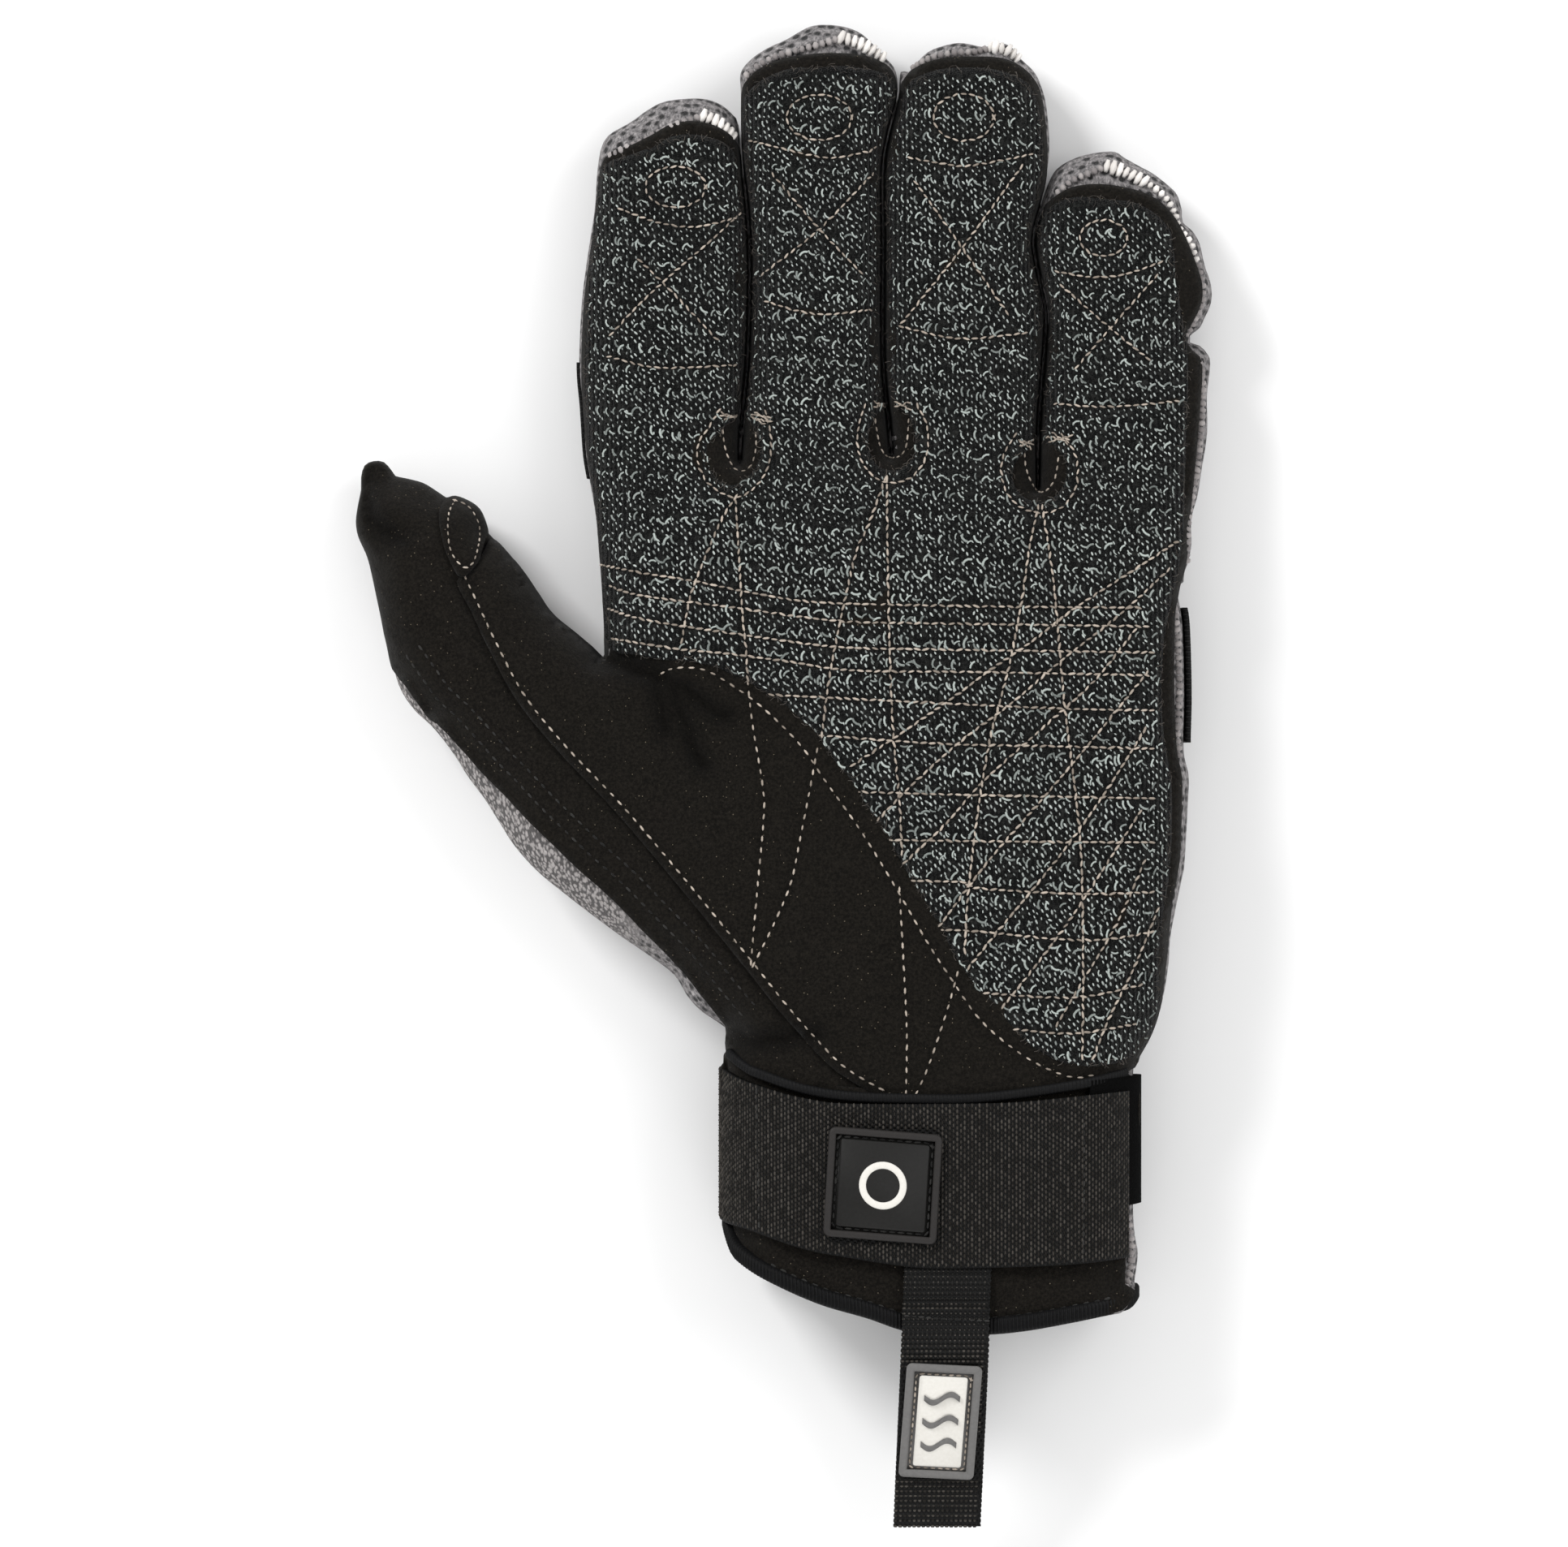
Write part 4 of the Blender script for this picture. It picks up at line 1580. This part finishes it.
def swept_tape(name, path, inward, outward, width, thickness, is_closed):
    """A rounded tape along a path; inward and outward are unit vectors per path point."""
    angles = np.linspace(0, 2 * math.pi, TAPE_SIDES, endpoint=False)
    across = np.sign(np.cos(angles)) * np.abs(np.cos(angles))**0.5 * width / 2
    upward = np.sign(np.sin(angles)) * np.abs(np.sin(angles))**0.7 * thickness / 2
    swell = 1 + RIB_SWELL * np.sin(2 * math.pi * run_lengths(path) / RIB_PITCH)
    verts = []
    for i, place in enumerate(path):
        for a, u in zip(across, upward):
            verts.append(place + inward[i] * a + outward[i] * u * swell[i])
    faces = joined_rings(len(path), TAPE_SIDES, is_closed)
    if not is_closed:
        faces.append(tuple(range(TAPE_SIDES)))
        faces.append(tuple(range(len(verts) - TAPE_SIDES, len(verts)))[::-1])
    return recalculated(mesh_object(name, np.array(verts), faces, binding))


def directions(path, is_closed):
    """Outward directions of a path in the wrist's cross-sections."""
    if is_closed:
        run = np.roll(path, -1, axis=0) - np.roll(path, 1, axis=0)
    else:
        run = np.gradient(path, axis=0)
    run /= np.maximum(np.linalg.norm(run, axis=1, keepdims=True), 1e-9)
    inward = np.tile([0.0, 1.0, 0.0], (len(path), 1))
    outward = np.cross(inward, run)
    outward /= np.maximum(np.linalg.norm(outward, axis=1, keepdims=True), 1e-9)
    return inward, outward


# %% The mouth's binding
HEM_CORNERS = [(897, 1512), (899, 1522), (903, 1536), (1397, 1595), (1399, 1591)]
HEM_TAPE = (3.3, 2.5)
HEM_ABOVE = 1.5
CORNER_DROP, CORNER_REACH = 1.0, 3
hem_y = along_line(np.concatenate([hem[::-1], plan(HEM_CORNERS)]))
hem_angles = np.linspace(0, 2 * math.pi, 2200, endpoint=False)


def hem_line(x):
    """The binding's middle: just above the hem, a little lower at its right corner."""
    at_corner = np.clip((x - WRIST_SIDES[1]) / CORNER_REACH + 1, 0, 1)
    return hem_y(x) + HEM_ABOVE - CORNER_DROP * at_corner


hem_path = wrist_loop(hem_angles, hem_line, lift=-0.1)
hem_tape = swept_tape("mouth_binding", hem_path, *directions(hem_path, True), *HEM_TAPE, True)

cuff_surface = surface_of([cuff_sheet])
hem_row = beside(hem, 2.9)[8:-8]
hem_stitches = stitched("hem_stitches", cuff_surface, [hem_row], 2.1, (1.35, 0.5, 0.4), black_thread,
                        lift=0.12)

# %% The binding of the palm's lower edge
SLOT_EDGE = [
    (899, 1297), (918, 1312), (934, 1320), (989, 1339), (1045, 1348), (1120, 1351), (1193, 1351),
    (1267, 1343), (1341, 1331), (1385, 1320),
]
SLOT_TAPE = (1.9, 1.5)
SLOT_LIFT = 0.9
slot_line = smooth_line(plan(SLOT_EDGE), 0.1)
slot_path = np.column_stack([slot_line, pillow(slot_line, "top") + SLOT_LIFT])
slot_tape = swept_tape("palm_edge_binding", slot_path, *directions(slot_path, False), *SLOT_TAPE, False)

# %% [markdown]
# ## The knuckle band and the side patch
# A black woven band crosses the back of the hand. From the palm side only its ribbed edge
# shows beside the little finger. A thin patch stands on the index finger's side.

# %% Band and patch, as strips that follow the edge and the bottom
def dense_polygon(corners, step):
    """A polygon with straight sides, with a point every step millimetres."""
    pieces = []
    for a, b in zip(corners, np.roll(corners, -1, axis=0)):
        count = max(1, int(np.linalg.norm(b - a) / step))
        pieces.append(a + (b - a) * np.linspace(0, 1, count, endpoint=False)[:, None])
    return np.concatenate(pieces)


LOWEST = 0.05


def under_strip(name, corners, spacing, lift, thickness, material):
    """A sheet on the glove's bottom side over a plan with straight sides."""
    points, faces = fill(dense_polygon(plan(corners), 1.0), [], spacing)
    distance, _ = line_distance(points, edge)
    reach = np.where(inside(points, glove_outline), distance, -distance)
    base = pillow(points, "bottom")
    low, high = levels(points)
    height = np.where(reach > 0, base, (low + high) / 2) - lift
    verts = np.column_stack([points, np.maximum(height, LOWEST)])
    made = mesh_object(name, verts, facing(faces, verts, False), material)
    set_weave(made, points)
    return walled(made, thickness)


STRIP_ROUNDING = 9
STRIP_SHARES = 14
STRIP_UNDER = -0.9


def edge_strip(name, line, top, bottom, side, out, thickness, top_share, material):
    """A strip just outside the glove's edge, between two picture rows."""
    part = smooth_line(plan(line), EDGE_STEP)
    picked = part[(part[:, 1] < picture_y(top)) & (part[:, 1] > picture_y(bottom))]
    picked = picked[np.argsort(-picked[:, 1])]
    low, high = levels(picked)
    middle = (low + high) / 2
    grids = []
    for shift in (out, out - thickness):
        rows = []
        for share in np.linspace(STRIP_UNDER, top_share, STRIP_SHARES):
            inset = (1 - math.sqrt(max(0.0, 1 - share**2))) * STRIP_ROUNDING
            x = picked[:, 0] + side * (shift - inset)
            z = middle + (high - middle if share > 0 else middle - low) * share
            rows.append(np.column_stack([x, picked[:, 1], z]))
        grids.append(np.stack(rows, axis=1))
    return grid_band(name, grids[0], grids[1], material)


BAND_SIDE = LITTLE_SIDE[-8:] + HAND_RIGHT[:8]
BAND_CORNERS = [(1452, 746), (1452, 916), (830, 838), (830, 668)]
band_edge = edge_strip("knuckle_band_edge", BAND_SIDE, top=744, bottom=917, side=1, out=1.35, thickness=1.0,
                       top_share=0.1, material=band_web)
patch_strip = edge_strip("index_side_patch", INDEX_SIDE, top=443, bottom=590, side=-1, out=0.5, thickness=0.6,
                         top_share=0.1, material=band_web)
band_back = under_strip("knuckle_band_back", BAND_CORNERS, spacing=1.8, lift=0.25, thickness=0.9,
                        material=band_web)

# %% [markdown]
# ## Beads of yarn along the mesh's rim
# Near the fingertips the cut rim of the mesh shows a row of white loops, and down the
# little-finger side it goes on as small beads. The same tree lays them across their line.

# %% White loops at the tips and grey beads down the side
WHITE_LOOPS = [
    [(866, 141), (880, 147), (893, 156), (902, 166)],
    [(1036, 44), (1054, 49), (1072, 58), (1087, 68)],
    [(1222, 55), (1240, 58), (1254, 68)],
    [(1364, 203), (1380, 208), (1396, 215), (1410, 222)],
]
WHITE_BEADS = [
    [(1410, 222), (1424, 231), (1438, 244), (1447, 260), (1452, 276), (1461, 290), (1468, 300), (1474, 318)],
]
GREY_BEADS = [
    [(752, 190), (768, 182), (790, 173), (815, 160), (840, 150), (866, 141)],
    [(920, 90), (938, 76), (960, 66), (990, 58), (1012, 52), (1036, 44)],
    [(1126, 80), (1146, 69), (1172, 63), (1200, 61), (1222, 55)],
    [(1304, 236), (1320, 222), (1342, 212), (1364, 203)],
    [(1474, 318), (1481, 345), (1482, 368), (1472, 392), (1462, 410)],
    [(1476, 440), (1482, 470), (1480, 530), (1473, 590), (1464, 640), (1462, 690)],
    [(1447, 750), (1451, 800), (1452, 850), (1450, 905), (1452, 930)],
    [(1389, 1500), (1393, 1530), (1392, 1560), (1386, 1584)],
]


def rim_beads(name, lines, pitch, size, material, lift):
    """Beads along lines of picture points that lie on the pillow's top."""
    runs = []
    for line in sewn(lines, 0.4):
        runs.append([(x, y, z + lift) for (x, y), z in zip(line[:, :2], pillow(line, "top"))])
    return threaded(name, runs, pitch, size, material, swing=0.25)


white_loops = rim_beads("white_rim_loops", WHITE_LOOPS, 1.2, (1.3, 3.0, 1.8), white_yarn, 0.3)
white_beads = rim_beads("white_rim_beads", WHITE_BEADS, 1.3, (1.15, 1.6, 1.2), white_yarn, 0.3)
grey_beads = rim_beads("grey_rim_beads", GREY_BEADS, 1.25, (1.2, 1.6, 1.2), grey_yarn, 0.15)

# %% [markdown]
# ## The pull tab
# A length of narrow webbing comes out from under the strap, passes over the hem and droops
# below it. Its cross ribs are modelled, because they show along its edges.

# %% The tab's path and its ribbed sheet
TAB_PATH = np.array([
    # y, z in millimetres, the same line as in the model
    (-86, 30.3), (-97, 30.2), (-99.5, 31.1), (-104, 31), (-109, 29.6), (-116, 26), (-125, 20.6),
    (-133, 16.6), (-139.1, 14.6),
])
TAB_WIDTH = 16.0
TAB_THICK = 0.9
TAB_RIB = 1.0
TAB_RIB_HEIGHT = 0.22
TAB_FRAY = 0.12
TAB_COLUMNS = 41
TAB_TOP, TAB_FOOT = plan([(1166.5, 1557), (1154.5, 1878)])
tab_line = smooth_line(TAB_PATH, 0.25)


def tab_grid(lift, rib):
    """Points across the tab at each place of its path; the tab leans a little."""
    run = np.gradient(tab_line, axis=0)
    run /= np.linalg.norm(run, axis=1, keepdims=True)
    length = run_lengths(tab_line)
    rise = lift + rib * np.abs(np.sin(math.pi * length / TAB_RIB))
    y = tab_line[:, 0] + run[:, 1] * rise
    z = tab_line[:, 1] - run[:, 0] * rise
    middle = np.interp(tab_line[:, 0], [TAB_FOOT[1], TAB_TOP[1]], [TAB_FOOT[0], TAB_TOP[0]])
    frayed = TAB_FRAY * np.sin(2 * math.pi * length / TAB_RIB)
    rows = []
    for share in np.linspace(-0.5, 0.5, TAB_COLUMNS):
        at_edge = (abs(share) > 0.49) * math.copysign(1, share)
        rows.append(np.column_stack([middle + share * TAB_WIDTH + frayed * at_edge, y, z]))
    return np.stack(rows, axis=1)


tab = grid_band("pull_tab_webbing", tab_grid(TAB_THICK, TAB_RIB_HEIGHT), tab_grid(0, 0.0), tab_web)

# %% The tab's weave and its row of stitches
UNDER_TAG = plan([(1102, 1822), (1205, 1680)])
TAB_BEAD = (0.92, 0.68, 0.62)
TAB_ROW = [(1116, 1617), (1165, 1621), (1214, 1623)]
tab_beads = woven("tab_weave", tab_grid(TAB_THICK, 0.0), pitch_along=TAB_RIB, pitch_across=0.86, stagger=0.0,
                  size=TAB_BEAD, bare=UNDER_TAG, material=web_yarn)
tab_surface = surface_of([tab])
tab_stitches = stitched("tab_stitches", tab_surface, sewn([TAB_ROW]), 1.3, (1.05, 0.4, 0.32), black_thread,
                        lift=0.05)

# %% [markdown]
# ## Rubber badge and tag
# Both are moulded plates: a raised rim with soft corners, a groove with sewing in it and an
# inner field. The field's mark is a plain generic figure. Each plate is laid on its carrier
# point by point, so it bends with the strap or the tab.

# %% A moulded plate on a carrier
def rounded_box(width, length, corner, count=6):
    """Plan of a rectangle with round corners, centred, in millimetres."""
    points = []
    for quarter, (sx, sy) in enumerate([(1, 1), (-1, 1), (-1, -1), (1, -1)]):
        for k in range(count):
            angle = math.pi / 2 * (quarter + k / (count - 1))
            points.append((sx * (width / 2 - corner) + corner * math.cos(angle),
                           sy * (length / 2 - corner) + corner * math.sin(angle)))
    return np.array(points)


def moulded(name, rings, place, material, cap=True):
    """A body through plan rings of (outline, height); place turns them into frame points."""
    count = len(rings[0][0])
    verts = [point for outline, height in rings for point in place(outline, height)]
    faces = joined_rings(len(rings), count, False)
    if cap:
        faces.append(tuple(range(count))[::-1])
        faces.append(tuple(range(len(verts) - count, len(verts))))
    return recalculated(mesh_object(name, np.array(verts), faces, material))


BEVEL = 0.35
SHOULDER_DROP = 0.12


def frame_rings(width, length, corner, rim, height):
    """A rim with bevelled shoulders: outer wall, crown and inner wall, closed on itself."""
    shoulder = BEVEL * 0.4
    steps = [
        # inset, height
        (0, 0), (0, height - BEVEL), (shoulder, height - SHOULDER_DROP), (BEVEL, height),
        (rim - BEVEL, height), (rim - shoulder, height - SHOULDER_DROP), (rim, height - BEVEL), (rim, 0),
        (0, 0),
    ]
    return [
        (rounded_box(width - 2 * inset, length - 2 * inset, max(corner - inset, 0.15)), level)
        for inset, level in steps
    ]


def on_surface(surface, centre, shear, turn, lift):
    """Places plan outlines on a surface, turned and a little sheared as sewn on."""
    def place(outline, height):
        points = []
        for x, y in outline:
            px = centre[0] + x * math.cos(turn) - y * math.sin(turn) + shear * y
            py = centre[1] + x * math.sin(turn) + y * math.cos(turn)
            hit, _ = straight_down(surface, px, py)
            base = hit.z / MM if hit else points[-1][2] - height - lift
            points.append((px, py, base + height + lift))
        return points
    return place


def circle(radius, count=40):
    angles = np.linspace(0, 2 * math.pi, count, endpoint=False)
    return np.column_stack([radius * np.cos(angles), radius * np.sin(angles)])


def plate_rings(width, length, base, height):
    """A plate with a small chamfer round its top."""
    return [
        (rounded_box(width, length, 0.5), base), (rounded_box(width, length, 0.5), height - 0.15),
        (rounded_box(width - 0.3, length - 0.3, 0.4), height),
    ]


def ring_mark(name, outer, inner, base, height, place, material):
    """A flat raised ring."""
    rings = [(circle(outer), base), (circle(outer), height - 0.1), (circle(outer - 0.12), height),
             (circle(inner + 0.12), height), (circle(inner), height - 0.1), (circle(inner), base),
             (circle(outer), base)]
    return moulded(name, rings, place, material, cap=False)


def box_line(width, length, place, height):
    """A closed run of points round a rectangle on a carrier."""
    run = place(dense_polygon(rounded_box(width, length, 0.6, 5), 0.5), height)
    return run + run[:1]


# %% The badge on the strap
BADGE_CENTRE = plan([(1086.5, 1457)])[0]
BADGE_WIDTH, BADGE_LENGTH = 20.9, 20.3
BADGE_RIM = 1.35
GROOVE_LAP = 0.2
badge_place = on_surface(strap_surface, BADGE_CENTRE, shear=-0.02, turn=-0.08, lift=0.05)
badge_rings = frame_rings(BADGE_WIDTH, BADGE_LENGTH, corner=1.3, rim=BADGE_RIM, height=1.5)
badge_rim = moulded("badge_rim", badge_rings, badge_place, rim_rubber, cap=False)
badge_box = BADGE_WIDTH - 2 * BADGE_RIM, BADGE_LENGTH - 2 * BADGE_RIM
floor_box = rounded_box(badge_box[0] + GROOVE_LAP, badge_box[1] + GROOVE_LAP, 0.5)
badge_floor = moulded("badge_groove", [(floor_box, 0.0), (floor_box, 0.45)], badge_place, dark_rubber)
badge_plate = plate_rings(16.4, 16.2, base=0.4, height=1.15)
badge_field = moulded("badge_field", badge_plate, badge_place, dark_rubber)
badge_mark = ring_mark("badge_mark", outer=4.4, inner=3.1, base=1.0, height=1.35, place=badge_place,
                       material=pale_rubber)
groove_run = box_line(badge_box[0] - 0.75, badge_box[1] - 0.75, badge_place, height=0.62)
badge_stitches = threaded("badge_stitches", [groove_run], 1.6, (1.3, 0.45, 0.35), black_thread, swing=0.1)

# %% The tag on the pull tab
TAG_CENTRE = plan([(1157.5, 1749)])[0]
TAG_WIDTH, TAG_LENGTH = 13.9, 21.6
TAG_RIM = 1.5
tag_place = on_surface(tab_surface, TAG_CENTRE, shear=0.02, turn=-0.05, lift=0.0)
tag_rings = frame_rings(TAG_WIDTH, TAG_LENGTH, corner=1.0, rim=TAG_RIM, height=1.4)
tag_rim = moulded("tag_rim", tag_rings, tag_place, grey_rubber, cap=False)
tag_box = TAG_WIDTH - 2 * TAG_RIM, TAG_LENGTH - 2 * TAG_RIM
tag_floor_box = rounded_box(tag_box[0] + GROOVE_LAP, tag_box[1] + GROOVE_LAP, 0.4)
tag_floor = moulded("tag_groove", [(tag_floor_box, 0.0), (tag_floor_box, 0.4)], tag_place, grey_rubber)
tag_plate = plate_rings(8.9, 17.2, base=0.35, height=1.0)
tag_field = moulded("tag_field", tag_plate, tag_place, pale_rubber)

# %% Three waves on the tag, and its sewing
WAVE_LENGTH, WAVE_HEIGHT, WAVE_STEP = 6.6, 0.85, 4.4
WAVE_RINGS = [(0.55, 0.9), (0.55, 1.18), (0.42, 1.28)]


def wave_mark(name, centre_y, place):
    """A raised wave across the tag's field."""
    share = np.linspace(-0.5, 0.5, 19)
    x = share * WAVE_LENGTH
    y = centre_y + WAVE_HEIGHT * np.sin(2 * math.pi * share)
    rings = []
    for half, height in WAVE_RINGS:
        outline = np.concatenate([np.column_stack([x, y + half]), np.column_stack([x, y - half])[::-1]])
        rings.append((outline, height))
    return moulded(name, rings, place, grey_rubber)


waves = [wave_mark(f"tag_wave_mark_{i + 1}", (1 - i) * WAVE_STEP, tag_place) for i in range(3)]
tag_run = box_line(tag_box[0] - 0.8, tag_box[1] - 0.8, tag_place, height=0.56)
tag_stitches = threaded("tag_stitches", [tag_run], 1.35, (1.1, 0.38, 0.3), beige_thread, swing=0.1)

# %% [markdown]
# ## Riding, slots and what each piece stands for
# Every piece rides on the one body of the model. The nodes of the model are all replaced by
# finer pieces, so each main piece names the nodes that it stands for.

# %% Roles
ROLES = {
    "spacer_mesh": [(back_shell, ["back_panel"]), (grey_beads, []), (white_loops, []), (white_beads, [])],
    "suede": [(palm_suede, ["palm_base"]), (thumb_suede, ["thumb_panel"]), (petal_sheet, ["thumb_petal"]),
              (cuff_sheet, ["cuff_panel"])],
    "knit": [(knit_sheet, ["palm_overlay"]), (knit_grains, []), (knit_curls, []), (edge_fibres, [])],
    "woven_elastic": [(band_back, ["knuckle_band"]), (band_edge, []), (patch_strip, ["index_patch"])],
    "binding": [(hem_tape, ["hem_binding"]), (slot_tape, ["slot_binding"])],
    "webbing": [(strap, ["wrist_strap"]), (tab, ["pull_tab"]), (strap_beads, []), (tab_beads, [])],
    "velvet": [(pad, ["loop_pad"])],
    "dark_rubber": [(badge_rim, ["badge_frame"]), (badge_floor, []), (badge_field, ["badge_plate"])],
    "grey_rubber": [(tag_rim, ["tag_frame"]), (tag_floor, []), (waves[0], ["tag_wave_1"]),
                    (waves[1], ["tag_wave_2"]), (waves[2], ["tag_wave_3"])],
    "pale_rubber": [(badge_mark, ["badge_ring"]), (tag_field, ["tag_plate"])],
}
for slot_name, dressed in ROLES.items():
    for piece, nodes in dressed:
        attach(piece, "root")
        if nodes:
            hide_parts(*nodes)
for piece in (*sewing_stitches, strap_stitches, tab_stitches, badge_stitches, tag_stitches, hem_stitches):
    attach(piece, "root")

# %% [markdown]
# ## Floor, light and camera
# The photograph shows the glove from straight above on plain white, with soft light from all
# sides. A long lens far up keeps its straight-down look.

# %% The floor
FLOOR_HALF = 3000
FLOOR_Z = -0.3
FLOOR_GREY = 0.86
floor_material, _, shader, _ = finish("pale_floor", 0.9)
shader.inputs["Base Color"].default_value = (FLOOR_GREY, FLOOR_GREY, FLOOR_GREY, 1)
floor_corners = [(x * FLOOR_HALF, y * FLOOR_HALF, FLOOR_Z) for x, y in ((-1, -1), (1, -1), (1, 1), (-1, 1))]
floor = mesh_object("floor", floor_corners, [(0, 1, 2, 3)], floor_material)

# %% Soft lights and a pale surround
WORLD_STRENGTH = 0.74
LIGHTS = {
    # place in metres, size in metres, power in watts
    "key": ((-1.0, 1.0, 1.2), 0.5, 20),
    "fill": ((1.1, 0.5, 1.2), 1.0, 9),
    "low": ((0.2, -1.3, 0.9), 1.0, 7),
}
scene = bpy.context.scene
scene.view_settings.view_transform = "Standard"
world = bpy.data.worlds.new("studio")
world.use_nodes = True
background = world.node_tree.nodes["Background"]
background.inputs["Color"].default_value = (1, 1, 1, 1)
background.inputs["Strength"].default_value = WORLD_STRENGTH
scene.world = world
for name, (place, size, power) in LIGHTS.items():
    data = bpy.data.lights.new(name, "AREA")
    data.size = size
    data.energy = power
    light = bpy.data.objects.new(name, data)
    light.location = place
    light.rotation_euler = (-Vector(place)).to_track_quat("-Z", "Y").to_euler()
    scene.collection.objects.link(light)
print("lights:", list(LIGHTS))

# %% The camera
PHOTO_WIDTH = 1932
CAMERA_HEIGHT = 2.2
SUBJECT_HEIGHT = 0.02
SENSOR = 36
camera_data = bpy.data.cameras.new("camera")
camera_data.sensor_width = SENSOR
camera_data.lens = SENSOR * (CAMERA_HEIGHT - SUBJECT_HEIGHT) / (PHOTO_WIDTH * MM_PER_PIXEL * MM)
camera = bpy.data.objects.new("camera", camera_data)
camera.location = (0, 0, CAMERA_HEIGHT)
scene.collection.objects.link(camera)
scene.camera = camera
